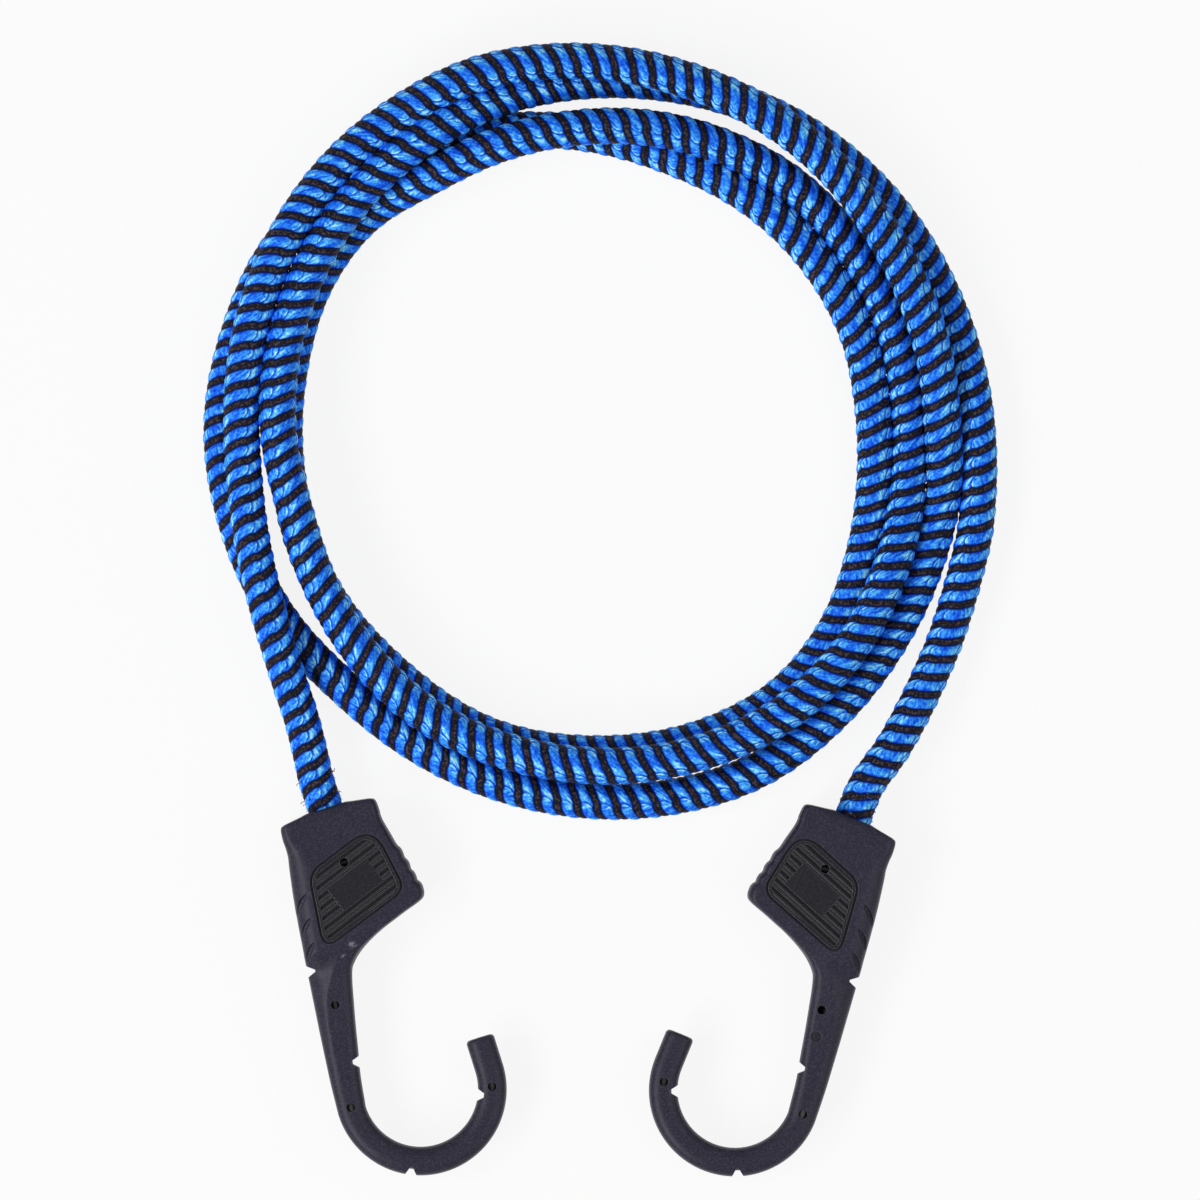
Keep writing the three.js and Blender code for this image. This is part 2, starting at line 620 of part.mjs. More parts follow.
// Least gap between points on the tube, each taken with points at least half a loop further on.
// Each straight step of the tube has rings of points at its quarters, with their sides halved.
function leastGap(path, radius, sides) {
  const middles = [];
  for (let i = 0; i < path.length - 1; i++)
    for (let part = 0; part < MEASURES_PER_STEP; part++)
      middles.push(path[i].clone().lerp(path[i + 1], part / MEASURES_PER_STEP));
  const rings = ringsAlong(middles, radius, sides).map((ring) =>
    ring.flatMap((point, i) => [point, point.clone().lerp(ring[(i + 1) % sides], 0.5)]));
  const halfLoop = (LOOP_STEPS / 2) * MEASURES_PER_STEP;
  const near = 2 * CORD_DIAMETER;
  let least = Infinity;
  for (let i = 0; i < rings.length; i++)
    for (let j = i + halfLoop; j < rings.length; j++) {
      if (middles[i].distanceTo(middles[j]) > near) continue;
      for (const a of rings[i]) for (const b of rings[j]) least = Math.min(least, a.distanceTo(b));
    }
  return least;
}

// The assembly

const bungee = new THREE.Group();

function addTo(group, name, geometry, material) {
  const mesh = new THREE.Mesh(geometry, materials[material]);
  mesh.name = name;
  group.add(mesh);
}

const loops = coilPath();
const sheathRings = ringsAlong(loops, CORD_RADIUS, LOOP_SIDES);
const boreRings = ringsAlong(loops, SHEATH_BORE_RADIUS, LOOP_SIDES);
addTo(bungee, "coil_sheath", hollowSkin(sheathRings, boreRings), "braid");
addTo(bungee, "coil_rubber", skin(ringsAlong(loops, RUBBER_RADIUS, LOOP_SIDES)), "rubber");

const leftRows = ROUTE.filter(([degrees]) => degrees < LOOPS_FROM);
const rightRows = ROUTE.filter(([degrees]) => degrees > LOOPS_TO).reverse();
const tails = {
  left: tailCurve(ends.left, leftRows, loops[0], loops[1]),
  right: tailCurve(ends.right, rightRows, loops[loops.length - 1], loops[loops.length - 2]),
};
const cover = coverGeometry();
const core = coreGeometry(CORE_DIAMETER / 2, 0);
const ferrule = ferruleGeometry();

for (const side of ["left", "right"]) {
  addTo(bungee, side + "_tail_sheath", tailTube(tails[side], CORD_RADIUS, SHEATH_BORE_RADIUS), "braid");
  addTo(bungee, side + "_tail_rubber", tailTube(tails[side], RUBBER_RADIUS, 0), "rubber");
  const hook = new THREE.Group();
  hook.position.copy(ends[side].shoulders);
  // The right hook is the same moulding turned over
  if (side === "left") hook.rotation.set(0, 0, rad(LEFT_TILT));
  else hook.rotation.set(0, Math.PI, rad(-RIGHT_TILT), "ZYX");
  addTo(hook, side + "_hook_cover", cover, "plastic");
  addTo(hook, side + "_hook_core", core, "steel");
  addTo(hook, side + "_ferrule", ferrule, "steel");
  bungee.add(hook);
}

let cordLength = tails.left.getLength() + tails.right.getLength();
for (let i = 1; i < loops.length; i++) cordLength += loops[i].distanceTo(loops[i - 1]);
const coilGap = leastGap(loops, CORD_RADIUS, LOOP_SIDES);
console.log("cord length " + cordLength.toFixed(0) + " mm");
console.log("least gap of the coil to itself " + coilGap.toFixed(2) + " mm");

export default bungee;
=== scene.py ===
import math

import bmesh
import bpy
import numpy as np
from mathutils import Matrix, Vector


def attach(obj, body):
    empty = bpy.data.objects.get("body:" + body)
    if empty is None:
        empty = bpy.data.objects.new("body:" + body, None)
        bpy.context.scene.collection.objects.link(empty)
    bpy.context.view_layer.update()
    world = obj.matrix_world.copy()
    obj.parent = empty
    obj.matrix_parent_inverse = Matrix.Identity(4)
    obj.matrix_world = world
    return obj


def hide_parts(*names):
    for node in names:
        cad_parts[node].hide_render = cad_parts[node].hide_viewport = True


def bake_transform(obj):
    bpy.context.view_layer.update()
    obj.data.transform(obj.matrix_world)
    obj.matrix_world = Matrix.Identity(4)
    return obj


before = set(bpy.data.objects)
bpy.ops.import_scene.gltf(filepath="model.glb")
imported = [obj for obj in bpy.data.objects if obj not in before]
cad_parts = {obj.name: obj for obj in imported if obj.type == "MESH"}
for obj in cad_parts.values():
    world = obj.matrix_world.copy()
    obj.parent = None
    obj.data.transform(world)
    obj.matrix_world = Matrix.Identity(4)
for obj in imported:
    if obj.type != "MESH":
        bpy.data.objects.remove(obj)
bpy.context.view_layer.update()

# The view. The coiled cord lies on a table and is seen from straight above, with its two hooks
# towards the viewer. A long lens from far off shows every place at the same size.
MM = 0.001
VIEW_MIDDLE = (2.71, 88.93, 7)
VIEW_WIDTH = 275.86
VIEW_HEIGHT = 4000
SENSOR_WIDTH = 36

camera_data = bpy.data.cameras.new("camera")
camera_data.sensor_width = SENSOR_WIDTH
camera_data.lens = SENSOR_WIDTH * VIEW_HEIGHT / VIEW_WIDTH
camera_data.clip_end = 10
camera = bpy.data.objects.new("camera", camera_data)
camera.location = (Vector(VIEW_MIDDLE) + Vector((0, 0, VIEW_HEIGHT))) * MM
bpy.context.collection.objects.link(camera)
bpy.context.scene.camera = camera


# The cord's route. One cord, 1.9 m long and 8 mm thick between its ribs, runs out of the left
# hook, nearly four times round, over and beside itself, and into the right hook. It lies loosely.
CORD_DIAMETER = 8.0
COIL_CENTRE = (2.71, 128.01)
LOOPS_FROM = 226  # degrees, as in the route
LOOPS_TO = 1546
ROUTE_STEP = 5
LINE_STEP = 0.8  # between the points of a stretch's line
MOUTH_RISE = 0.95  # how far a hook's mouth stands out from its shoulders
CORD_END = 8.6  # how far the cord runs on inside the hook, from the shoulders
SPARE = 1.5  # how far each stretch's line runs on past its ends, so that two stretches meet
# Degrees clockwise from the far side, then radius and height of the cord's middle
ROUTE = np.array([
    (221, 100.9, 7.3), (226, 95.4, 8.1), (234, 90.1, 11.2), (240, 87.4, 12.8), (246, 85.3, 13.1),
    (254, 83.5, 12.3), (263, 82.4, 11.3), (272, 82.5, 11.3), (284, 83.4, 12.4), (300, 84.8, 12.9),
    (316, 85.7, 12.3), (328, 86, 12.8), (340, 86.3, 14), (350, 85.5, 12.9), (360, 84.4, 12.2),
    (375, 82.7, 12.6), (390, 81.5, 12.8), (405, 80.1, 12.2), (420, 78.9, 11.2), (440, 78.6, 9.8),
    (450, 78.8, 8), (460, 80.3, 5), (470, 80.9, 4.1), (485, 82.3, 4), (500, 84.3, 4), (515, 86.2, 4),
    (530, 85.9, 4), (550, 84.8, 4), (570, 83.7, 4), (585, 83.5, 4), (600, 85.4, 4), (615, 86.4, 4),
    (630, 87.1, 4), (645, 86.1, 4), (660, 85, 4), (675, 81.2, 4), (690, 76.6, 4), (705, 71.5, 4),
    (720, 67.7, 4), (735, 64.9, 4), (750, 63.9, 4), (770, 63.3, 4), (790, 63.2, 4), (805, 62.9, 4),
    (820, 64.2, 4), (835, 67, 4), (850, 70.9, 4), (865, 73.8, 4), (880, 74.5, 4), (900, 74.4, 4),
    (920, 74.7, 4), (940, 73.3, 4), (960, 73.4, 4), (980, 72.6, 4), (1000, 72.6, 4), (1018, 73.6, 4),
    (1032, 73, 4.8), (1046, 70, 9), (1060, 69.4, 12.3), (1074, 69.5, 12.8), (1090, 70.3, 11.4),
    (1104, 71, 8.2), (1118, 71.75, 5), (1135, 71.5, 4.1), (1150, 71.4, 4), (1168, 71.2, 4.3),
    (1180, 71.8, 5.2), (1190, 73.2, 7.6), (1200, 74.7, 10.2), (1215, 76.8, 11.9), (1230, 77.7, 12.3),
    (1250, 77.4, 12.3), (1270, 76.9, 12.5), (1290, 76.6, 12.3), (1305, 75.2, 12.6), (1320, 73.5, 12.8),
    (1335, 72.4, 12.8), (1350, 73.8, 12.7), (1365, 74.9, 12.6), (1380, 76.1, 12.6), (1392, 77.2, 12.6),
    (1402, 77.9, 12.9), (1412, 78.6, 12.8), (1422, 79.5, 9.4), (1434, 80.1, 5), (1450, 81, 4),
    (1470, 82.7, 4), (1490, 83.9, 4), (1510, 84.9, 4), (1530, 86.9, 4), (1546, 89.5, 4),
    (1560, 92.5, 4.2), (1566, 94.4, 4.8), (1572, 96.8, 5.8), (1577.5, 99.4, 6.7),
])
# Where the cord enters each hook's shoulders, and how far the hook is turned
SHOULDERS = {"left": (-60.159, 40.195, 7.0), "right": (60.516, 37.968, 7.0)}
TILT = {"left": 17.5, "right": -22.2}


def at_place(degrees, radius, height):
    turn = math.radians(degrees)
    x, y = COIL_CENTRE
    return np.array((x + radius * math.sin(turn), y + radius * math.cos(turn), height))


def on_route(degrees):
    """A point of the loops, on cubic curves through the route's rows."""
    last = len(ROUTE) - 1
    i = min(max(np.searchsorted(ROUTE[:, 0], degrees, side="right") - 1, 0), last - 1)

    def slope(row):
        before, after = ROUTE[max(row - 1, 0)], ROUTE[min(row + 1, last)]
        return (after[1:] - before[1:]) / (after[0] - before[0])

    span = ROUTE[i + 1, 0] - ROUTE[i, 0]
    t = (degrees - ROUTE[i, 0]) / span
    radius, height = (
        (2 * t**3 - 3 * t**2 + 1) * ROUTE[i, 1:] + (t**3 - 2 * t**2 + t) * span * slope(i)
        + (3 * t**2 - 2 * t**3) * ROUTE[i + 1, 1:] + (t**3 - t**2) * span * slope(i + 1)
    )
    return at_place(degrees, radius, height)


def smooth_line(points, parts=8):
    """A centripetal spline through points, each gap in as many parts."""
    points = np.asarray(points, float)
    points = np.vstack([2 * points[0] - points[1], points, 2 * points[-1] - points[-2]])
    line = []
    for p0, p1, p2, p3 in zip(points, points[1:], points[2:], points[3:]):
        d0, d1, d2 = (math.sqrt(np.linalg.norm(b - a)) for a, b in ((p0, p1), (p1, p2), (p2, p3)))
        m1 = ((p1 - p0) / d0 - (p2 - p0) / (d0 + d1) + (p2 - p1) / d1) * d1
        m2 = ((p2 - p1) / d1 - (p3 - p1) / (d1 + d2) + (p3 - p2) / d2) * d1
        for t in np.arange(parts) / parts:
            line.append(p1 + m1 * t + (3 * (p2 - p1) - 2 * m1 - m2) * t**2
                        + (2 * (p1 - p2) + m1 + m2) * t**3)
    return np.array(line + [points[-2]])


def out_of_hook(side, distance):
    turn = math.radians(TILT[side])
    return np.array(SHOULDERS[side]) + distance * np.array((-math.sin(turn), math.cos(turn), 0))


# The loops press on each other where they lie side by side, so that no gap shows between them
NEAR_LOOPS = (8.2, 8.8)  # how far apart two middles are that touch, and that still draw together
STACKED = 4.0  # a loop that lies this much higher than its neighbour only sinks onto it
MOST_DRAWN = 0.3
DRAW_ROUNDS = 12
DRAW_SHARE = 0.25  # of what is left, in each round
SMOOTHING = (0.15, 0.2, 0.3, 0.2, 0.15)
LOWEST = 4.35  # the middle of a cord that lies on the table
loops = np.array([on_route(d) for d in np.arange(LOOPS_FROM, LOOPS_TO + 1, ROUTE_STEP)])
drawn = np.zeros_like(loops)
for _ in range(DRAW_ROUNDS):
    for turns in (1, 2, 3):
        apart = turns * 360 // ROUTE_STEP
        gap = (loops + drawn)[apart:] - (loops + drawn)[:-apart]
        distance = np.linalg.norm(gap, axis=1)
        near = (distance > NEAR_LOOPS[0]) & (distance < NEAR_LOOPS[1])
        excess = np.where(near, distance - NEAR_LOOPS[0], 0)
        pull = gap * (DRAW_SHARE * excess / distance)[:, None]
        pull[:, :2] *= np.clip(1 - np.abs(gap[:, 2]) / STACKED, 0, 1)[:, None]
        drawn[:-apart] += pull
        drawn[apart:] -= pull
padded = np.pad(drawn, ((len(SMOOTHING) // 2,) * 2, (0, 0)), "edge")
drawn = np.column_stack([np.convolve(values, SMOOTHING, "valid") for values in padded.T])
drawn *= np.minimum(1, MOST_DRAWN / np.maximum(np.linalg.norm(drawn, axis=1), 1e-9))[:, None]
drawn[0] = drawn[-1] = 0
drawn[:, 2] = np.clip(drawn[:, 2], CORD_DIAMETER / 2 - loops[:, 2], 0)
loops = loops + drawn

straight = [-CORD_END - SPARE, -CORD_END, MOUTH_RISE, MOUTH_RISE + CORD_DIAMETER]
cord_line = smooth_line(
    [out_of_hook("left", d) for d in straight]
    + [at_place(*row) for row in ROUTE if row[0] < LOOPS_FROM]
    + list(loops)
    + [at_place(*row) for row in ROUTE if row[0] > LOOPS_TO]
    + [out_of_hook("right", d) for d in reversed(straight)]
)
cord_line[:, 2] = np.maximum(cord_line[:, 2], LOWEST)
cord_along = np.concatenate([[0], np.cumsum(np.linalg.norm(np.diff(cord_line, axis=0), axis=1))])


def line_between(start, end):
    """Even points of the cord's line between two distances along it."""
    even = np.linspace(start, end, max(round((end - start) / LINE_STEP), 2) + 1)
    return np.column_stack([np.interp(even, cord_along, cord_line[:, k]) for k in range(3)])


def distance_of(point):
    return cord_along[np.argmin(np.linalg.norm(cord_line - point, axis=1))]


coil_start, coil_end = distance_of(loops[0]), distance_of(loops[-1])
STRETCHES = {
    "left_tail": (SPARE, coil_start),
    "coil": (coil_start, coil_end),
    "right_tail": (coil_end, cord_along[-1] - SPARE),
}


# The braided sheath. Flat bundles of bright blue and of black polyester yarn are plaited round
# the rubber, so that each bundle floats over its neighbours, dives under and comes up again. The
# blue ones are wide and the black ones narrow, and they wind round the cord in two starts.
BRAID_PITCH = 4.52  # along the cord, one blue and one black rib
BLUE_SHARE = 0.6
STARTS = 2
SHEATH_DIAMETER = 8.75  # over the ribs' crests
SHEATH_SIDES = 24
RINGS_PER_PITCH = 10
RIB_RELIEF = 0.4
RIB_HEIGHTS = [  # across a blue rib and then a black one
    (0, 0.05), (0.1, 0.6), (0.2, 0.92), (0.3, 1), (0.4, 0.92), (0.5, 0.6), (0.6, 0.05),
    (0.7, 0.5), (0.8, 0.62), (0.9, 0.5), (1, 0.05)]
FLOATS = 4  # round the cord
FLOAT_HEIGHTS = [(0, 0.55), (0.33, 1), (0.67, 0.9), (1, 0.55)]  # from its start to its end
FLOAT_LEAN = 0.1  # how far a float's own lean moves its ends, in pitches
FLOAT_LEANS = [(0, 0.1), (0.33, 0.5), (0.72, 1), (1, 0.1)]
SEAM_SHIFT = 0.001  # so that a point on a seam always counts as the next rib's or float's
CORD_TWIST = 0.45  # turns in each metre, from how the cord was laid down
SHEATH_BORE = 6.2
BORE_STEP = 12.0
MERGED = 0.02  # points nearer than this become one
SHEATH_EDGE = 70  # degrees, beyond which an edge is drawn sharp


class Output:
    """A node's first output, or another of them. Arithmetic with it adds math nodes to its tree."""

    def __init__(self, tree, socket):
        self.tree, self.socket, self.node = tree, socket, socket.node

    def __getitem__(self, name):
        """Another output of the same node."""
        return Output(self.tree, self.node.outputs[name])

    def calc(self, operation, *others):
        return add(self.tree, "ShaderNodeMath", (self, *others), operation=operation)

    def __add__(self, other):
        return self.calc("ADD", other)

    def __sub__(self, other):
        return self.calc("SUBTRACT", other)

    def __rsub__(self, other):
        return add(self.tree, "ShaderNodeMath", (other, self), operation="SUBTRACT")

    def __mul__(self, other):
        return self.calc("MULTIPLY", other)

    def __truediv__(self, other):
        return self.calc("DIVIDE", other)

    def __pow__(self, other):
        return self.calc("POWER", other)

    __radd__, __rmul__ = __add__, __mul__


def add(tree, kind, inputs=(), **settings):
    """A new node's first output. Each of its inputs is given as a value or as an output to link."""
    node = tree.nodes.new(kind)
    for name, value in settings.items():
        setattr(node, name, value)
    for key, value in inputs.items() if isinstance(inputs, dict) else enumerate(inputs):
        if isinstance(value, Output):
            link(value, node.inputs[key])
        elif value is not None:
            node.inputs[key].default_value = value
    return Output(tree, node.outputs[0])


def link(output, socket):
    output.tree.links.new(output.socket, socket)


def vector(operation, *values):
    return add(values[0].tree, "ShaderNodeVectorMath", values, operation=operation)


def scaled(value, by):
    return add(value.tree, "ShaderNodeVectorMath", {0: value, "Scale": by}, operation="SCALE")


def combined(*parts):
    """A vector from up to three parts, where None stands for nothing."""
    tree = next(part.tree for part in parts if part is not None)
    return add(tree, "ShaderNodeCombineXYZ", parts)


def curve_of(value, points):
    """A value through a smooth curve over (0..1)."""
    result = add(value.tree, "ShaderNodeFloatCurve", {"Value": value})
    curve = result.node.mapping.curves[0]
    curve.points[0].location, curve.points[1].location = points[0], points[-1]
    for x, y in points[1:-1]:
        curve.points.new(x, y)
    result.node.mapping.update()
    return result


def new_tree(name, **inputs):
    """A new Geometry Nodes tree's inputs: its geometry, the named ones by kind, and a material."""
    tree = bpy.data.node_groups.new(name, "GeometryNodeTree")
    for in_out in ("OUTPUT", "INPUT"):
        tree.interface.new_socket("Geometry", in_out=in_out, socket_type="NodeSocketGeometry")
    for kind, labels in (*inputs.items(), ("Material", ["Material"])):
        for label in labels:
            tree.interface.new_socket(label, in_out="INPUT", socket_type="NodeSocket" + kind)
    return add(tree, "NodeGroupInput")


def finished(given, geometry):
    """The whole tree, which ends in real geometry in the given material."""
    real = add(given.tree, "GeometryNodeRealizeInstances", (geometry,))
    real = add(given.tree, "GeometryNodeSetMaterial", {
        "Geometry": real, "Material": given["Material"]})
    link(real, given.tree.nodes.new("NodeGroupOutput").inputs[0])
    return given.tree


def grown(name, data, tree, values):
    """The plain mesh object that a tree grows on some data with these values."""
    seed = bpy.data.objects.new(name + "_seed", data)
    bpy.context.collection.objects.link(seed)
    modifier = seed.modifiers.new("grow", "NODES")
    modifier.node_group = tree
    for item in tree.interface.items_tree:
        if item.in_out == "INPUT" and item.name in values:
            modifier[item.identifier] = values[item.name]
    seed.update_tag()
    evaluated = seed.evaluated_get(bpy.context.evaluated_depsgraph_get())
    mesh = bpy.data.meshes.new_from_object(evaluated)
    mesh.name = name
    while len(mesh.materials) > 1 and mesh.materials[0] is None:
        mesh.materials.pop(index=0)
    mesh.polygons.foreach_set("material_index", np.zeros(len(mesh.polygons), int))
    bpy.data.objects.remove(seed)
    return placed_in_scene(name, mesh)


def placed_in_scene(name, data):
    piece = bpy.data.objects.new(name, data)
    bpy.context.collection.objects.link(piece)
    return piece


def outward(piece):
    """Turns every face of a closed mesh outwards, and shades it smooth."""
    shell = bmesh.new()
    shell.from_mesh(piece.data)
    bmesh.ops.recalc_face_normals(shell, faces=shell.faces)
    for face in shell.faces:
        face.smooth = True
    shell.to_mesh(piece.data)
    shell.free()


def curve_through(name, points, closed=False):
    """A curve object's data: one line through points in millimetres."""
    data = bpy.data.curves.new(name, "CURVE")
    data.dimensions = "3D"
    spline = data.splines.new("POLY")
    spline.points.add(len(points) - 1)
    spline.points.foreach_set("co", np.column_stack([points * MM, np.ones(len(points))]).ravel())
    spline.use_cyclic_u = closed
    return data


def upright(curve):
    return add(curve.tree, "GeometryNodeSetCurveNormal", (curve,), mode="Z_UP")


def circle(sides, radius):
    return add(radius.tree, "GeometryNodeCurvePrimitiveCircle", {
        "Resolution": sides, "Radius": radius})


def swept(curve, profile, capped=True, **more):
    """A profile swept along a curve."""
    return add(curve.tree, "GeometryNodeCurveToMesh", {
        "Curve": curve, "Profile Curve": profile, "Fill Caps": capped, **more})


def stored(geometry, name, value, kind="INT", domain="POINT"):
    return add(geometry.tree, "GeometryNodeStoreNamedAttribute", (geometry, None, name, value),
               data_type=kind, domain=domain)


def sheath_tree():
    """Grows a hollow braided tube along a curve."""
    given = new_tree(
        "braided_sheath",
        Float=("Diameter", "Bore", "Pitch", "Relief", "Lean", "Twist", "Start", "Spare", "Bore step"),
        Int=("Sides", "Starts", "Rings per pitch", "Floats", "First ring"))
    tree = given.tree
    line = upright(given)
    length = add(tree, "GeometryNodeCurveLength", (line,)) - given["Spare"] * 2
    ring_gap = given["Pitch"] / given["Rings per pitch"]
    index = add(tree, "GeometryNodeInputIndex")
    profile = stored(circle(given["Sides"], given["Diameter"] * 0.5), "side", index)
    side, ring = (add(tree, "GeometryNodeInputNamedAttribute", (name,), data_type="INT")
                  for name in ("side", "ring"))
    round_share = side / given["Sides"]

    def tube(gap):
        """A plain tube with a ring at about every gap, and each ring's distance along the curve."""
        gaps = (length / gap).calc("ROUND").calc("MAXIMUM", 1)
        rings = add(tree, "GeometryNodeResampleCurve", {"Curve": line, "Count": gaps + 1})
        return swept(stored(rings, "ring", index), profile, capped=False), ring / gaps * length

    def placed(distance, radius):
        """The point at a distance along the curve, a turn round it and a radius from it."""
        sample = add(tree, "GeometryNodeSampleCurve", {
            "Curves": line, "Length": distance + given["Spare"]}, mode="LENGTH", use_all_curves=True)
        turn = (round_share + given["Twist"] * (distance + given["Start"])) * math.tau
        up = vector("CROSS_PRODUCT", sample["Tangent"], sample["Normal"])
        reach = vector("ADD", scaled(sample["Normal"], turn.calc("COSINE")),
                       scaled(up, turn.calc("SINE")))
        return vector("ADD", sample["Position"], scaled(reach, radius))

    # Each point moves along by less than half a ring, onto its rib's crest, flank or valley
    ribs_past = round_share * given["Starts"]
    rings_past = ribs_past * given["Rings per pitch"]
    to_rib = rings_past - rings_past.calc("ROUND")
    # Each float leans more than the rib that it is part of, so the rings are sheared in steps
    in_float = (round_share * given["Floats"] + SEAM_SHIFT).calc("FRACT")
    lean = (curve_of(in_float, FLOAT_LEANS) - 0.5) * (given["Pitch"] * given["Lean"])
    outer, even = tube(ring_gap)
    pitches = (ring + given["First ring"] + to_rib) / given["Rings per pitch"]
    rib = (pitches - ribs_past + SEAM_SHIFT).calc("FRACT")
    height = curve_of(rib, RIB_HEIGHTS) * curve_of(in_float, FLOAT_HEIGHTS)
    radius = given["Diameter"] * 0.5 + given["Relief"] * (height - 1)
    outer = add(tree, "GeometryNodeSetPosition", {
        "Geometry": outer, "Position": placed(even + (lean + to_rib * ring_gap), radius)})

    # The pattern's own map: pitches along the cord, and the share of a turn round it
    middle = add(tree, "GeometryNodeFieldOnDomain", (round_share,), domain="FACE")
    behind = (round_share - middle).calc("LESS_THAN", -0.25)
    outer = stored(outer, "UVMap", combined(pitches, round_share + behind), "FLOAT2", "CORNER")
    outer = add(tree, "GeometryNodeTriangulate", (outer,), quad_method="FIXED")

    # The rims turn in to the bore, which needs few rings
    on_rim = add(tree, "GeometryNodeInputMeshEdgeNeighbors").calc("COMPARE", 1, 0.1)
    rims = add(tree, "GeometryNodeExtrudeMesh", {
        "Mesh": outer, "Selection": on_rim, "Offset Scale": 0.0}, mode="EDGES")
    bore_radius = given["Bore"] * 0.5
    rimmed = add(tree, "GeometryNodeSetPosition", {
        "Geometry": rims, "Selection": rims["Top"], "Position": placed(even, bore_radius)})
    bore, even = tube(given["Bore step"])
    bore = add(tree, "GeometryNodeSetPosition", {
        "Geometry": bore, "Position": placed(even, bore_radius)})
    both = add(tree, "GeometryNodeJoinGeometry")
    for skin in (rimmed, bore):
        link(skin, both.node.inputs[0])
    return finished(given, add(tree, "GeometryNodeMergeByDistance", {
        "Geometry": both, "Distance": MERGED * MM}))


def new_material(name, colour, roughness, finish=()):
    """A material, its node tree and its shader, with the values that are the same all over."""
    material = bpy.data.materials.new(name)
    material.use_nodes = True
    shader = material.node_tree.nodes["Principled BSDF"]
    shader.inputs["Base Color"].default_value = (*colour, 1)
    shader.inputs["Roughness"].default_value = roughness
    for key, value in dict(finish).items():
        shader.inputs[key].default_value = value
    return material, material.node_tree, shader


def mixed(share, low, high):
    """One colour turning into another as the share goes from 0 to 1."""
    low, high = (colour if isinstance(colour, Output) else (*colour, 1) for colour in (low, high))
    return add(share.tree, "ShaderNodeMix", {0: share, 6: low, 7: high}, data_type="RGBA")[2]


def step_between(value, low, high):
    """0 below low, 1 above high, and smooth between."""
    return add(value.tree, "ShaderNodeMapRange", {"Value": value, "From Min": low, "From Max": high},
               interpolation_type="SMOOTHSTEP")


def noise(tree, scale, detail):
    """Noise that stays with the object, with about so many spots to the metre."""
    place = add(tree, "ShaderNodeTexCoord")["Object"]
    return add(tree, "ShaderNodeTexNoise", {"Vector": place, "Scale": scale, "Detail": detail})


def roughened(shader, height, strength, depth, normal=None):
    """Gives a shader the fine relief that is too small for the mesh."""
    bump = add(height.tree, "ShaderNodeBump", {
        "Strength": strength, "Distance": depth * MM, "Height": height, "Normal": normal})
    link(bump, shader.inputs["Normal"])


# The yarn's colours. The blue's deepest colour and the black's edge colour are painted shade, and the
# blue's glint is a painted highlight. On the braid the darker and paler blues are painted shade and
# light, together with the yarn's own darker and paler streaks. On the frayed fibres they are plain
# tones.
BLUE_PAINTED_SHADE = (0.0008, 0.012, 0.24)
BLUE_DARK_AND_SHADED = (0.004, 0.050, 0.62)
BLUE = (0.013, 0.165, 0.93)
BLUE_PALE_AND_LIT = (0.075, 0.46, 1.0)
BLUE_PAINTED_GLINT = (0.42, 0.90, 1.0)
BLUES = ((0.0, BLUE_DARK_AND_SHADED), (0.3, BLUE), (0.66, BLUE_PALE_AND_LIT), (1.0, BLUE_PAINTED_GLINT))
BLACK_PAINTED_SHADE = (0.001, 0.006, 0.035)
BLACK_YARN = (0.007, 0.0065, 0.010)
BLACK_LIGHT = (0.070, 0.052, 0.056)
WAVER = 0.10  # how far a rib's edges waver, in pitches
FLOAT_SLANT = 0.16  # how far round a float's end slants as it crosses the rib, in floats
FLOAT_TIP = 0.09  # how far round a float's middle reaches past its corners at the rib's edges
YARNS_PER_RIB = 4
YARN_SLANTS = (-2.0, 3.2)  # ribs' widths that the yarns cross along one float and along the next
YARN_WAVER = 1.6  # in yarns
STREAKS = (0.75, 4.5)  # about how many streaks a yarn's width and a float's length have
OTHER_RIB, OTHER_FLOAT = 3.7, 1.9  # how far into the noise the next rib and the next float are
MOTTLE, PATCHES = (1500, 2), (520, 2)  # noise: its spots to the metre and its detail
# From and to where along a float its yarn gets a painted highlight and loses it, its tip gets a
# painted highlight, its painted glint along the end starts and stops, its start gets clear of the
# last one, with painted shade there, and its end dips
RISE, FALL, TIP = (0.04, 0.14), (0.16, 0.5), (0.6, 0.85)
RIM_GLINT, RIM_GLINT_END = (0.93, 0.97), (0.985, 1.0)
DIVE, SEAM = (0.0, 0.1), (0.95, 1.0)
# How strong the tip's painted highlight is, and the painted shade where a float's start comes clear
TIP_LIT = 0.5
DIVE_SHADE = 0.5
BLUE_SHADED_EDGE, BLACK_SHADED_EDGE = (0.62, 1.0), (0.4, 0.8)  # from and to where a rib gets painted shade towards its edges
# How light the blue is in the painted shade, and how much lighter it is painted where lit, with a
# painted sheen on its crown, with the painted glint along its end, on each yarn, and with the
# streaks, stronger where painted lit, and the mottle, each from the noise's own middle
SHADED, LIT, CROWN_SHEEN, RIM_GLINT_LIGHT, ON_YARN = 0.02, 0.33, 0.17, 0.3, 0.03
STREAK_MIDDLE, STREAKED, STREAKED_LIT = 0.42, 1.0, 0.7
MOTTLE_MIDDLE, MOTTLED = 0.45, 1.1
FLECK_MIDDLES, FLECKS = (0.47, 0.5), (5.0, 1.2)  # of the black yarn, by the mottle and the streaks
YARN_RELIEF, SEAM_RELIEF = 0.08, 0.3  # against the mottle's
BRAID_BUMP = (0.7, 0.12)  # strength, and depth in millimetres


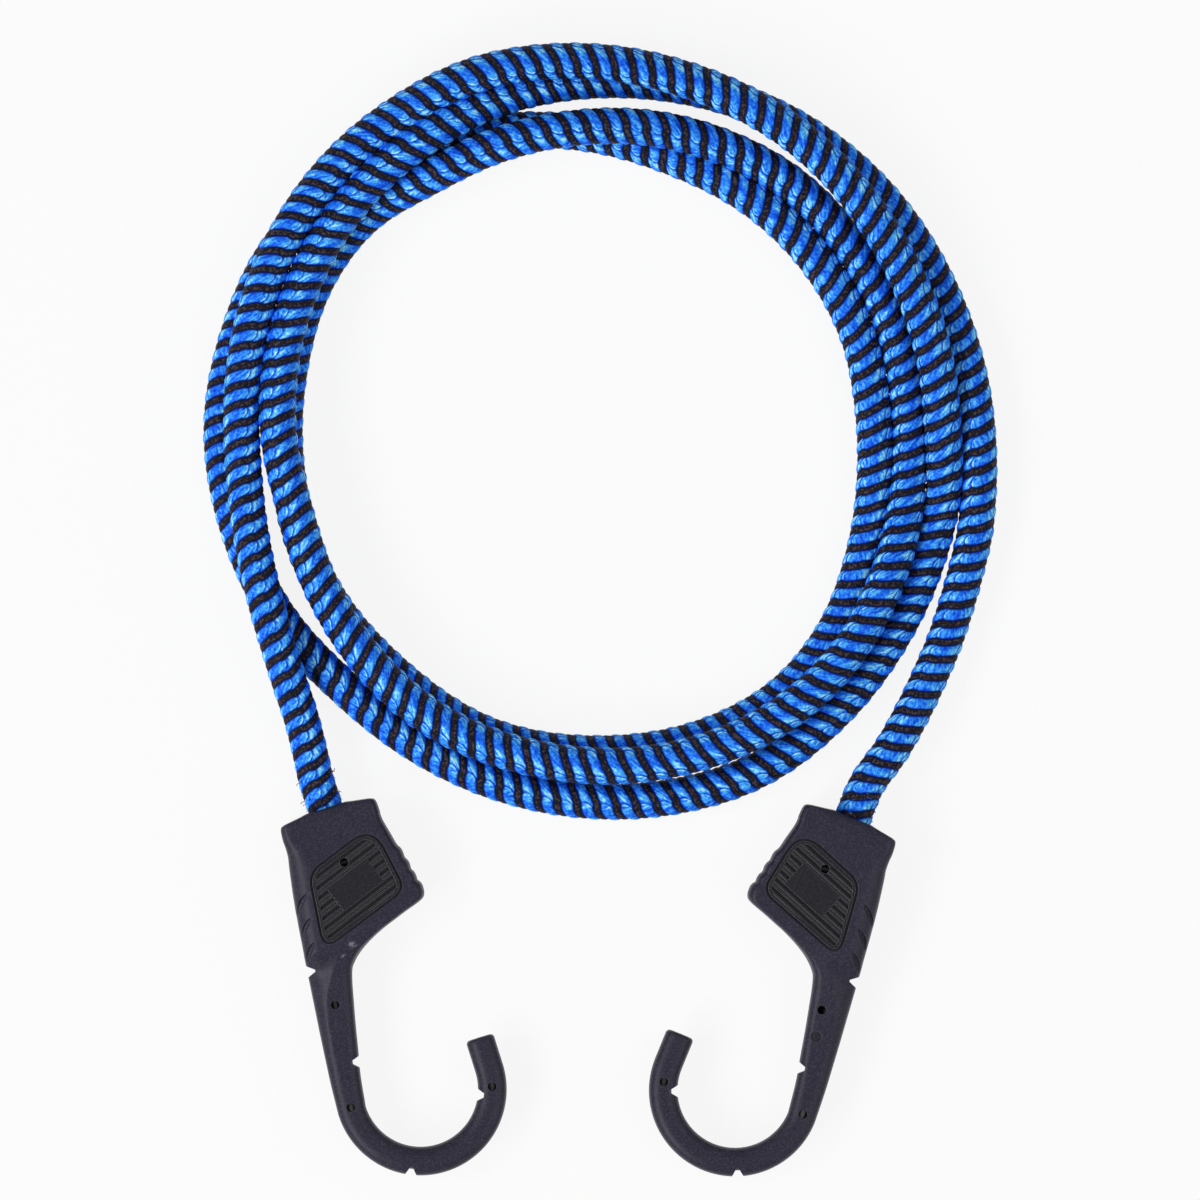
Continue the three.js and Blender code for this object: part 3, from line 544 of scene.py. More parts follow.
def braid_material():
    """Yarn in two colours, by the rib that it is in, the float and the place across the rib, with
    painted highlights, glints and shade.
    """
    material, tree, shader = new_material("braid", BLUE, 0.55, {"Specular IOR Level": 0.06})
    pattern = add(tree, "ShaderNodeSeparateXYZ", (add(tree, "ShaderNodeUVMap", uv_map="UVMap"),))
    pitches, turns = pattern[0], pattern[1]
    mottle, patches = noise(tree, *MOTTLE), noise(tree, *PATCHES)
    ribs = pitches - turns * STARTS
    rib = ((patches - 0.5) * WAVER + ribs).calc("FRACT")
    is_blue = rib.calc("LESS_THAN", BLUE_SHARE)
    across = add(tree, "ShaderNodeMix", {
        0: is_blue, 2: (rib - BLUE_SHARE) / (1 - BLUE_SHARE), 3: rib / BLUE_SHARE})
    to_edge = (across * 2 - 1).calc("ABSOLUTE")
    # A float's end curves back over the start of the next one
    round_on = turns * FLOATS + (0.5 - across) * FLOAT_SLANT
    tipped = round_on + to_edge**2 * FLOAT_TIP
    float_number, in_float = tipped.calc("FLOOR"), tipped.calc("FRACT")
    # The yarns slant one way in one float and the other way in the next
    way = (float_number * 0.5).calc("FRACT") * 2
    slant = add(tree, "ShaderNodeMix", {0: way, 2: YARN_SLANTS[0], 3: YARN_SLANTS[1]})
    along = round_on - float_number
    yarn = (across + along * slant) * YARNS_PER_RIB
    place = combined(yarn * STREAKS[0], along * STREAKS[1],
                     ribs.calc("FLOOR") * OTHER_RIB + float_number * OTHER_FLOAT)
    streaks = add(tree, "ShaderNodeTexNoise", {
        "Vector": place, "Scale": 1.0, "Detail": 1.0, "Roughness": 0.5})
    yarns = ((yarn + patches * YARN_WAVER) * math.tau).calc("SINE")
    # Painted highlights along each float, where its yarn comes up and at its tip, the painted glint
    # along its end, and where its start comes clear of the last one
    lit = (step_between(in_float, *RISE) * (1 - step_between(in_float, *FALL))
           + step_between(in_float, *TIP) * TIP_LIT)
    rim_glint = step_between(in_float, *RIM_GLINT) * (1 - step_between(in_float, *RIM_GLINT_END))
    dive = 1 - step_between(in_float, *DIVE)
    # The blue's lightness: painted highlights, a painted sheen on the crown and the painted glint,
    # over the yarns, the streaks, which are stronger where painted lit, and the mottle
    light = (lit * LIT + SHADED + (1 - to_edge**2) * CROWN_SHEEN + rim_glint * RIM_GLINT_LIGHT + yarns * ON_YARN
             + (streaks - STREAK_MIDDLE) * (lit * STREAKED_LIT + STREAKED)
             + (mottle - MOTTLE_MIDDLE) * MOTTLED)
    # The lightness picks the blue: from the darker, shaded blue through its own blue to the paler, lit
    # one and the painted glint
    ramp = add(tree, "ShaderNodeValToRGB", (light,))
    stops = ramp.node.color_ramp.elements
    for at, colour in BLUES:
        stop = stops.new(at) if 0 < at < 1 else stops[-1 if at else 0]
        stop.color = (*colour, 1)
    # Painted shade towards a blue rib's edges and where a float's start comes clear of the last one
    shade = step_between(to_edge, *BLUE_SHADED_EDGE).calc("MAXIMUM", dive * DIVE_SHADE)
    flecks = ((mottle - FLECK_MIDDLES[0]) * FLECKS[0] + (streaks - FLECK_MIDDLES[1]) * FLECKS[1])
    flecked = mixed(add(tree, "ShaderNodeClamp", (flecks,)), BLACK_YARN, BLACK_LIGHT)
    # Painted shade towards a black rib's edges
    black = mixed(step_between(to_edge, *BLACK_SHADED_EDGE), flecked, BLACK_PAINTED_SHADE)
    link(mixed(is_blue, black, mixed(shade, ramp, BLUE_PAINTED_SHADE)), shader.inputs["Base Color"])
    seam = dive.calc("MAXIMUM", step_between(in_float, *SEAM))
    roughened(shader, yarns * YARN_RELIEF + mottle - seam * SEAM_RELIEF, *BRAID_BUMP)
    return material


braid = braid_material()
braided_sheath = sheath_tree()
first_ring = -round(coil_start / (BRAID_PITCH / RINGS_PER_PITCH))
sheaths = {}
for name, (start, end) in STRETCHES.items():
    line = curve_through(name, line_between(start - SPARE, end + SPARE))
    sheath = grown(name + "_sheath_braid", line, braided_sheath, {
        "Diameter": SHEATH_DIAMETER * MM, "Bore": SHEATH_BORE * MM, "Pitch": BRAID_PITCH * MM,
        "Relief": RIB_RELIEF * MM, "Lean": FLOAT_LEAN, "Twist": CORD_TWIST,
        "Start": start * MM, "Spare": SPARE * MM, "Bore step": BORE_STEP * MM,
        "Sides": SHEATH_SIDES, "Starts": STARTS, "Rings per pitch": RINGS_PER_PITCH,
        "Floats": FLOATS, "First ring": first_ring, "Material": braid})
    first_ring += round((end - start) / (BRAID_PITCH / RINGS_PER_PITCH))
    outward(sheath)
    sheath.data.set_sharp_from_angle(angle=math.radians(SHEATH_EDGE))
    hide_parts(name + "_sheath")
    sheaths[name] = sheath


# The rubber inside the sheath. It is a bundle of round latex threads, drawn pale and dusty out of
# the mould, which the sheath holds together. It shows only where the cord is cut.
RUBBER_DIAMETER = 5.5
RUBBER_THREADS = 9
THREAD_RELIEF = 0.28
RUBBER_SIDES = 36
RUBBER = (0.55, 0.42, 0.22)
RUBBER_TONES = ((0.50, 0.37, 0.18), (0.66, 0.56, 0.38))  # bare and dusty
RUBBER_DUST = (900, 4, 0.4, 0.7)  # its noise, and from and to where in it the dust gets thicker
RUBBER_BUMP = (0.3, 0.05)


def rubber_tree():
    """Grows a bundle of threads along a curve, as one solid with a groove between each two."""
    given = new_tree("rubber_bundle", Float=("Diameter", "Relief", "Step"), Int=("Threads", "Sides"))
    tree = given.tree
    line = add(tree, "GeometryNodeResampleCurve", {
        "Curve": upright(given), "Length": given["Step"]}, mode="LENGTH")
    turn = add(tree, "GeometryNodeInputIndex") * given["Threads"] / given["Sides"]
    valley = (turn * math.pi).calc("COSINE").calc("ABSOLUTE")**3
    outwards = vector("NORMALIZE", add(tree, "GeometryNodeInputPosition"))
    profile = add(tree, "GeometryNodeSetPosition", {
        "Geometry": circle(given["Sides"], given["Diameter"] * 0.5),
        "Offset": scaled(outwards, valley * given["Relief"] * -1)})
    return finished(given, swept(line, profile))


def two_toned(name, colour, roughness, tones, shades, finish=()):
    """A material of two tones, by a noise's scale and detail and from and to where in it."""
    material, tree, shader = new_material(name, colour, roughness, finish)
    scale, detail, low, high = shades
    spots = noise(tree, scale, detail)
    link(mixed(step_between(spots, low, high), *tones), shader.inputs["Base Color"])
    return material, shader, spots


rubber, rubber_shader, dust = two_toned("rubber", RUBBER, 0.75, RUBBER_TONES, RUBBER_DUST)
roughened(rubber_shader, dust, *RUBBER_BUMP)
rubber_bundle = rubber_tree()
rubbers = {}
for name, (start, end) in STRETCHES.items():
    line = curve_through(name, line_between(start, end))
    threads = grown(name + "_rubber_threads", line, rubber_bundle, {
        "Diameter": RUBBER_DIAMETER * MM, "Threads": RUBBER_THREADS, "Relief": THREAD_RELIEF * MM,
        "Sides": RUBBER_SIDES, "Step": BORE_STEP * MM, "Material": rubber})
    outward(threads)
    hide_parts(name + "_rubber")
    rubbers[name] = threads

# The loops lie still, and each tail lies between them and its own hook
left_mouth, right_mouth = (out_of_hook(side, MOUTH_RISE) * MM for side in ("left", "right"))
loops_start, loops_finish = loops[0] * MM, loops[-1] * MM
for kind in (sheaths, rubbers):
    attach(kind["coil"], "coil")
    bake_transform(kind["left_tail"])
    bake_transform(kind["right_tail"])
coil_path = line_between(*STRETCHES["coil"]) * MM
tail_path = line_between(*STRETCHES["right_tail"]) * MM


# The hooks' covers. Each is black nylon moulded over a bent steel wire: a broad housing round the
# cord's end, with a ribbed grip pad on both faces, then a shank, a round bend and a plain tip.
BEND_DROP = 67.3  # the bend's middle, down from the shoulders and across
BEND_OFFSET = 1.45
BEND_RADIUS = 16.5
BAR_WIDTH = 6.5
BAR_THICKNESS = 7.0
BAR_ROUND = (2.9, 2.2)  # its edges' rounding, across and up
TIP_LENGTH = 7.3
TIP_ROUND = 0.9
# Down from the shoulders, left edge, right edge, half thickness, then the width and the height of
# the rounding on the left edge and on the right one
COVER_ROWS = np.array([
    (-0.95, -4.70, 5.00, 5.75, 0.8, 0.8, 0.8, 0.8),
    (-0.52, -6.80, 7.20, 6.45, 1.0, 1.0, 1.0, 1.0),
    (-0.10, -9.90, 10.10, 6.72, 1.2, 1.2, 1.2, 1.2),
    (0.30, -10.95, 11.20, 6.87, 1.4, 1.4, 1.4, 1.4),
    (1.00, -11.28, 11.58, 6.97, 1.6, 1.6, 1.5, 1.6),
    (2.20, -11.45, 11.70, 7.00, 1.8, 1.9, 1.6, 1.8),
    (3.40, -11.52, 11.72, 7.00, 2.0, 2.1, 1.6, 1.9),
    (4.10, -11.50, 11.64, 7.00, 2.2, 2.2, 1.7, 2.0),
    (5.20, -11.44, 11.70, 7.00, 2.7, 2.5, 1.8, 2.2),
    (7.00, -11.50, 12.05, 7.00, 3.6, 3.0, 1.9, 2.4),
    (9.00, -11.88, 12.52, 7.00, 4.3, 3.4, 1.9, 2.6),
    (12.0, -12.42, 13.20, 7.00, 4.7, 3.6, 1.8, 2.6),
    (12.9, -12.57, 13.72, 7.00, 4.9, 3.7, 1.8, 2.6),
    (13.8, -12.72, 13.95, 7.00, 4.9, 3.7, 1.8, 2.6),
    (15.2, -12.96, 14.02, 7.00, 4.8, 3.7, 1.8, 2.6),
    (16.1, -13.10, 14.45, 7.00, 4.8, 3.7, 1.8, 2.6),
    (17.0, -13.23, 14.66, 7.00, 4.8, 3.7, 1.8, 2.6),
    (18.2, -13.40, 14.60, 7.00, 4.7, 3.7, 1.8, 2.6),
    (19.2, -13.55, 15.10, 7.00, 4.7, 3.7, 1.8, 2.6),
    (20.2, -13.67, 15.25, 7.00, 4.7, 3.7, 1.8, 2.6),
    (21.0, -13.75, 15.22, 7.00, 4.6, 3.7, 1.9, 2.6),
    (21.8, -13.85, 15.75, 7.00, 4.6, 3.7, 2.0, 2.6),
    (22.8, -13.98, 15.98, 7.00, 4.6, 3.7, 2.1, 2.6),
    (23.8, -14.10, 15.95, 7.00, 4.5, 3.6, 2.1, 2.6),
    (24.7, -14.20, 15.72, 7.00, 4.5, 3.6, 2.2, 2.5),
    (25.4, -14.28, 15.25, 7.00, 4.5, 3.6, 2.3, 2.4),
    (25.9, -14.34, 14.40, 7.00, 4.4, 3.6, 2.5, 2.3),
    (26.4, -14.39, 13.05, 7.00, 4.4, 3.6, 2.2, 2.0),
    (27.2, -14.48, 10.55, 6.98, 4.4, 3.5, 2.2, 1.8),
    (28.2, -14.59, 7.75, 6.93, 4.3, 3.5, 2.1, 1.7),
    (29.2, -14.72, 4.95, 6.83, 4.2, 3.4, 2.0, 1.6),
    (30.2, -14.85, 2.62, 6.66, 4.1, 3.3, 1.9, 1.6),
    (31.2, -14.97, 0.62, 6.42, 4.0, 3.2, 1.9, 1.7),
    (32.2, -15.07, -1.10, 6.12, 3.8, 3.1, 2.3, 1.9),
    (33.4, -15.18, -2.75, 5.80, 3.6, 3.0, 2.2, 1.9),
    (34.7, -15.32, -4.12, 5.48, 3.3, 2.9, 2.2, 2.0),
    (36.0, -15.46, -5.12, 5.22, 3.1, 2.8, 2.2, 2.0),
    (39.0, -15.78, -6.10, 4.78, 2.8, 2.6, 2.2, 2.0),
    (43.0, -16.20, -7.05, 4.38, 2.5, 2.4, 2.1, 2.0),
    (48.0, -16.72, -8.20, 4.02, 2.3, 2.2, 2.0, 2.0),
    (54.0, -17.30, -9.45, 3.74, 2.4, 2.1, 2.3, 2.1),
    (60.0, -17.85, -10.75, 3.58, 2.7, 2.2, 2.6, 2.2),
    (67.3, -18.30, -11.80, 3.50, 2.9, 2.2, 2.9, 2.2),
])
HOUSING_END = 36  # down from the shoulders, where fewer rings are enough
HOUSING_STEP = 0.3
SHANK_STEP = 0.8
BEND_STEP = 3  # degrees
CORNER_PARTS = 7
FACE_PARTS = 22
PARTING_RISE = 0.05
PARTING_WIDTH = 0.16
# The crease where the housing's slope runs out over the shank: down, across, and how marked it is
CREASE = np.array([
    (30, -6.0, 0), (33, -7.8, 0.4), (36, -9.9, 1), (38, -11.2, 1), (40, -12.3, 1), (43, -13.3, 1),
    (46, -14.0, 1), (50, -14.6, 0.8), (54, -15.0, 0.5), (62, -15.7, 0),
])
CREASE_SLOPES = (0.46, 0.06)  # down to the left edge and down to the right one
CREASE_RISE = 0.2
CREASE_SHARPNESS = 5
# How far the flanks lean in, so that the mould lets them go: down, and the right one's lean
DRAFT = 0.12
UNDERSIDE_DRAFT = np.array([(24.5, 0.12), (26.5, 0.5), (33, 0.5), (37, 0.12)])


def eased(table, downs):
    """Values between a table's rows, on cubic curves that never overshoot them."""
    x, y = table[:, 0], table[:, 1:]
    gaps = np.diff(x)[:, None]
    rises = np.diff(y, axis=0) / gaps
    slopes = np.zeros_like(y)
    slopes[0], slopes[-1] = rises[0], rises[-1]
    same = rises[:-1] * rises[1:] > 0
    both = np.where(same, rises[:-1] + rises[1:], 1)
    slopes[1:-1] = np.where(same, 2 * rises[:-1] * rises[1:] / both, 0)
    i = np.clip(np.searchsorted(x, downs, side="right") - 1, 0, len(x) - 2)
    t = ((downs - x[i]) / (x[i + 1] - x[i]))[:, None]
    span = gaps[i]
    return ((2 * t**3 - 3 * t**2 + 1) * y[i] + (t**3 - 2 * t**2 + t) * span * slopes[i]
            + (3 * t**2 - 2 * t**3) * y[i + 1] + (t**3 - t**2) * span * slopes[i + 1])


def bar_ring(left, right, half, left_round, right_round, crease=(0, 0), right_draft=DRAFT):
    """The section of the moulding: (across, up) points round it, from the right edge's middle."""
    turns = np.linspace(0, math.pi / 2, CORNER_PARTS + 1)
    (lw, lh), (rw, rh) = left_round, right_round
    across = [right + PARTING_RISE, right]
    across += list(right - right_draft - (rw - right_draft) * (1 - np.cos(turns)))
    up = [0, PARTING_WIDTH / 2] + list(half - rh * (1 - np.sin(turns)))
    face = np.linspace(right - rw, left + lw, FACE_PARTS + 1)[1:-1]
    across += list(face)
    up += [half] * len(face)
    across += list(left + DRAFT + (lw - DRAFT) * (1 - np.sin(turns))) + [left]
    up += list(half - lh * (1 - np.cos(turns))) + [PARTING_WIDTH / 2]
    across, up = np.array(across), np.array(up)
    beside = CREASE_SHARPNESS * (across - crease[0])
    drop = sum(slope * np.logaddexp(0, way * beside) / CREASE_SHARPNESS
               for way, slope in zip((-1, 1), CREASE_SLOPES))
    up = up * (1 + crease[1] * (CREASE_RISE - drop) / half)
    top = np.column_stack([across, up])
    bottom = np.column_stack([across[1:], -up[1:]])[::-1]
    return np.vstack([top, [(left - PARTING_RISE, 0)], bottom])


def cover_rings():
    """Rings of points down the housing and shank, round the bend and up to the tip."""
    downs = np.concatenate([np.arange(-MOUTH_RISE, HOUSING_END, HOUSING_STEP),
                            np.arange(HOUSING_END, BEND_DROP, SHANK_STEP)])
    rings = []
    creases = np.column_stack([np.interp(downs, CREASE[:, 0], CREASE[:, k]) for k in (1, 2)])
    drafts = np.interp(downs, UNDERSIDE_DRAFT[:, 0], UNDERSIDE_DRAFT[:, 1])
    for down, row, crease, draft in zip(downs, eased(COVER_ROWS, downs), creases, drafts):
        section = bar_ring(row[0], row[1], row[2], row[3:5], row[5:7], crease, draft)
        rings.append(np.column_stack([section[:, 0], np.full(len(section), -down), section[:, 1]]))

    def bar_at(middle, inward, cut=0.0):
        half = BAR_WIDTH / 2 - cut
        corner = (BAR_ROUND[0] - cut / 2, BAR_ROUND[1] - cut / 2)
        section = bar_ring(-half, half, BAR_THICKNESS / 2 - cut, corner, corner)
        rings.append(np.column_stack([middle[0] + inward[0] * section[:, 0],
                                      middle[1] + inward[1] * section[:, 0], section[:, 1]]))

    for degrees in range(180, 361, BEND_STEP):
        turn = math.radians(degrees)
        out = np.array((math.cos(turn), math.sin(turn)))
        bar_at(np.array((BEND_OFFSET, -BEND_DROP)) + BEND_RADIUS * out, -out)
    tip = np.array((BEND_OFFSET + BEND_RADIUS, -BEND_DROP))
    for rise in np.arange(SHANK_STEP, TIP_LENGTH - TIP_ROUND, SHANK_STEP):
        bar_at(tip + (0, rise), (-1, 0))
    for turn in np.linspace(0, math.pi / 2, CORNER_PARTS):
        bar_at(tip + (0, TIP_LENGTH - TIP_ROUND + TIP_ROUND * math.sin(turn)), (-1, 0),
               TIP_ROUND * (1 - math.cos(turn)))
    return np.array(rings)


def skinned(name, rings, endless=False):
    """A closed mesh over rings of points in millimetres: flat at both ends, or with them joined."""
    count = rings.shape[1]
    starts = np.arange(len(rings) - (not endless))[:, None] * count
    i = np.arange(count)[None]
    j = (i + 1) % count
    nexts = (starts + count) % (len(rings) * count)
    quads = np.stack([starts + i, starts + j, nexts + j, nexts + i], axis=-1)
    faces = quads.reshape(-1, 4).tolist()
    if not endless:
        last = (len(rings) - 1) * count
        faces += [list(range(count))[::-1], list(range(last, last + count))]
    mesh = bpy.data.meshes.new(name)
    mesh.from_pydata((rings.reshape(-1, 3) * MM).tolist(), [], faces)
    piece = placed_in_scene(name, mesh)
    outward(piece)
    return piece


moulding = skinned("moulding", cover_rings())
FACE = 7.0  # the housing's faces, from the middle of its thickness
BEYOND = 2.0  # how far a cutter reaches past the face that it cuts
THROUGH = (-FACE - BEYOND, FACE + BEYOND)
PIN_RADIUS = 1.0
PIN_SIDES = 32
# Across, down from the shoulders, and whether a pin came from above or below
PINS = [(0.5, 12.2, 1), (1.6, 12.3, -1), (-11.35, 42.84, 1), (-9.95, 42.6, -1)]
BEND_PIN_TURNS = (177, -15)  # degrees round the bend, where pins went right through
EJECTOR = (-11.05, 48.75)  # the pin that pushed the moulding out: across, down from the shoulders
EJECTOR_RADIUS = 1.33
EJECTOR_SIDES = 40
EJECTOR_PRESS = {1: 0.06, -1: -0.3}  # its mark's floor on each face, from the shank's plain face
NOTCH_DEPTH = 1.9
NOTCH_WIDTH = 2.4
NOTCH_POINT = 0.1  # how wide a notch is at its bottom, as a share
# Across and down from the shoulders to a notch's edge, then the degrees that it faces in
NOTCHES = [(-15.25, 33.7, -8), (-10.1, 57.0, 168)]
BEND_NOTCHES = [(-23, -1), (-114, 1)]  # degrees round the bend, and its inner or outer side
BORE_RADIUS = 4.45
POCKET_RADIUS = 5.7
POCKET = (0.9, 8.9)  # the ferrule's room, from and to how far down
MOUTH_WIDENING = (0.5, 0.6, 1.1)  # by how much, and from and to how far up
BORE_SIDES = 64


def cut_away(piece, cutter):
    """Takes a cutter's solid out of a piece, and the cutter out of the scene."""
    modifier = piece.modifiers.new("cut", "BOOLEAN")
    modifier.operation = "DIFFERENCE"
    modifier.solver = "MANIFOLD"
    modifier.object = cutter
    evaluated = piece.evaluated_get(bpy.context.evaluated_depsgraph_get())
    piece.data = bpy.data.meshes.new_from_object(evaluated)
    piece.modifiers.clear()
    bpy.data.objects.remove(cutter)


def prism(outline, heights):
    """A solid over a flat outline, between two heights."""
    outline = np.asarray(outline, float)
    return skinned("cutter", np.array([
        np.column_stack([outline, np.full(len(outline), height)]) for height in sorted(heights)]))


def ring_points(radius, sides, middle=(0.0, 0.0)):
    turns = np.arange(sides) * math.tau / sides
    return np.column_stack([middle[0] + radius * np.cos(turns), middle[1] + radius * np.sin(turns)])


def on_bend(radius, degrees):
    turn = math.radians(degrees)
    return np.array((BEND_OFFSET + radius * math.cos(turn), -BEND_DROP + radius * math.sin(turn)))


def turned_round(profile, sides, endless=False):
    """A solid turned about the cord's axis from rows of radius and distance down."""
    rings = []
    for radius, down in profile:
        points = ring_points(radius, sides)
        rings.append(np.column_stack([points[:, 0], np.full(sides, -down), points[:, 1]]))
    return skinned("turned", np.array(rings), endless)


# Where the mould's pins and fingers held the wire, and where one pushed the moulding out
for across, down, side in PINS:
    cut_away(moulding, prism(ring_points(PIN_RADIUS, PIN_SIDES, (across, -down)),
                             (0, side * (FACE + BEYOND))))
shank_face = eased(COVER_ROWS, np.array([EJECTOR[1]]))[0][2]
for side, press in EJECTOR_PRESS.items():
    cut_away(moulding, prism(ring_points(EJECTOR_RADIUS, EJECTOR_SIDES, (EJECTOR[0], -EJECTOR[1])),
                             (side * (shank_face + press), side * (FACE + BEYOND))))
for degrees in BEND_PIN_TURNS:
    middle = on_bend(BEND_RADIUS, degrees)
    cut_away(moulding, prism(ring_points(PIN_RADIUS, PIN_SIDES, middle), THROUGH))
edges = [((across, -down), facing) for across, down, facing in NOTCHES]
edges += [(on_bend(BEND_RADIUS + side * BAR_WIDTH / 2, degrees),
           degrees + (180 if side > 0 else 0)) for degrees, side in BEND_NOTCHES]
for edge, facing in edges:
    inward = np.array((math.cos(math.radians(facing)), math.sin(math.radians(facing))))
    beside = np.array((-inward[1], inward[0])) * NOTCH_WIDTH / 2 * (1 + BEYOND / NOTCH_DEPTH)
    start = np.array(edge) - inward * BEYOND
    point = np.array(edge) + inward * NOTCH_DEPTH
    cut_away(moulding, prism([point - beside * NOTCH_POINT, point + beside * NOTCH_POINT,
                              start + beside, start - beside], THROUGH))

# Room for the cord and its ferrule
wider, low, high = MOUTH_WIDENING
cut_away(moulding, turned_round([
    (POCKET_RADIUS, POCKET[1]), (POCKET_RADIUS, POCKET[0]), (BORE_RADIUS, POCKET[0]),
    (BORE_RADIUS, -low), (BORE_RADIUS + wider, -high),
    (BORE_RADIUS + wider, -MOUTH_RISE - BEYOND)], BORE_SIDES))

# The grip pad pressed into each face: a border, and grooves between ribs round a plain place
PAD_CORNERS = np.array([(-7.96, -12.2), (9.15, -6.02), (11.93, -22.33), (-9.95, -29.95)])
PAD_ROUNDS = np.array([5.2, 5.2, 3.65, 2.7])
PAD_DEPTH = 0.8
LOWER_ASIDE = 1.05  # how far the lower face's pad lies aside of the upper one's
BORDER_GROOVE = (0.95, 0.25)  # wide above the face and at the bottom
RIB_MARGIN = 0.95
RIB_PITCH = 2.11
RIB_COUNT = 9
RIB_GROOVE = (1.15, 0.4)
FINE_GROOVE = (0.6, 0.15)  # along the middle of each rib
FINE_DEPTH = 0.22
RIB_SLOPE = 20  # degrees
RIB_LENGTH = 60  # enough to cross the field
PLATE = (11.5, 6.2, 4.0)  # the plain place: along the ribs, across them and deep
PLATE_MIDDLE = (1.24, -17.43)


def moved_in(corners, distance):
    """A convex outline's corners, moved inwards by a distance."""
    along = np.roll(corners, -1, axis=0) - corners
    along /= np.linalg.norm(along, axis=1)[:, None]
    starts = corners + distance * np.column_stack([along[:, 1], -along[:, 0]])
    moved = []
    for i in range(len(corners)):
        gap, (bx, by), (ax, ay) = starts[i] - starts[i - 1], along[i - 1], along[i]
        t = (gap[0] * ay - gap[1] * ax) / (bx * ay - by * ax)
        moved.append(starts[i - 1] + t * along[i - 1])
    return np.array(moved)


def rounded(corners, rounds, parts=12):
    """An outline with its corners rounded off, each by its own radius."""
    outline = []
    for i, (corner, radius) in enumerate(zip(corners, rounds)):
        back, on = corners[i - 1] - corner, corners[(i + 1) % len(corners)] - corner
        back, on = back / np.linalg.norm(back), on / np.linalg.norm(on)
        reach = radius / math.tan(math.acos(back @ on) / 2)
        for t in np.linspace(0, 1, parts + 1):
            outline.append(corner + back * reach * (1 - t)**2 + on * reach * t**2)
    return np.array(outline)


def groove_profile(given):
    """The section of a groove, wider at its top, with its middle on the face."""
    return add(given.tree, "GeometryNodeCurvePrimitiveQuadrilateral", {
        "Bottom Width": given["Bottom width"], "Top Width": given["Top width"],
        "Height": given["Depth"] * 2, "Offset": 0.0}, mode="TRAPEZOID")


def border_tree():
    """Grows the border's groove along its middle line."""
    given = new_tree("pad_border", Float=("Top width", "Bottom width", "Depth"))
    return finished(given, swept(upright(given), groove_profile(given), capped=False))


def ribs_tree():
    """Grows the grooves between the ribs, inside a field and round a plate."""
    given = new_tree("pad_ribs", Vector=("Middle", "Plate"), Int=("Count",), Float=(
        "Pitch", "Slope", "Top width", "Bottom width", "Depth", "Length"))
    tree = given.tree
    half = given["Length"] * 0.5
    line = add(tree, "GeometryNodeCurvePrimitiveLine", {
        "Start": combined(half * -1), "End": combined(half)})
    rows = add(tree, "GeometryNodeMeshLine", {
        "Count": given["Count"], "Offset": combined(None, given["Pitch"]),
        "Start Location": combined(None, given["Pitch"] * ((given["Count"] - 1) * 0.5) * -1)})
    grooves = add(tree, "GeometryNodeInstanceOnPoints", {
        "Points": rows, "Instance": swept(upright(line), groove_profile(given))})
    grooves = add(tree, "GeometryNodeRealizeInstances", (grooves,))
    plate = add(tree, "GeometryNodeMeshCube", {"Size": given["Plate"]})
    grooves, plate = (add(tree, "GeometryNodeTransform", {
        "Geometry": solid, "Translation": given["Middle"],
        "Rotation": combined(None, None, given["Slope"])}) for solid in (grooves, plate))
    inside = add(tree, "GeometryNodeMeshBoolean", operation="INTERSECT", solver="EXACT")
    for solid in (grooves, given):
        link(solid, inside.node.inputs["Mesh 2"])
    return finished(given, add(tree, "GeometryNodeMeshBoolean", {
        "Mesh 1": inside, "Mesh 2": plate}, operation="DIFFERENCE", solver="EXACT"))


def swept_tree():
    """Grows a round bar along its curve, which may thin towards both ends."""
    given = new_tree("swept_bar", Float=("Radius", "Thin ends"), Int=("Sides",))
    factor = add(given.tree, "GeometryNodeSplineParameter")["Factor"]
    share = factor.calc("MINIMUM", 1 - factor) / given["Thin ends"].calc("MAXIMUM", 0.0001)
    thin = add(given.tree, "ShaderNodeClamp", {0: share, 1: 0.02}).calc("SQRT")
    thin = thin.calc("MAXIMUM", given["Thin ends"].calc("LESS_THAN", 0.001))
    return finished(given, swept(upright(given), circle(given["Sides"], given["Radius"]), Scale=thin))


def cut_both_faces(cutter, aside=0.0):
    """Takes a cutter out of the upper face, and its mirror image, moved aside, out of the lower."""
    outward(cutter)
    other = placed_in_scene("other_face", cutter.data.copy())
    other.data.transform(Matrix.Translation((aside * MM, 0, 0)) @ Matrix.Diagonal((1, 1, -1, 1)))
    outward(other)
    cut_away(moulding, cutter)
    cut_away(moulding, other)


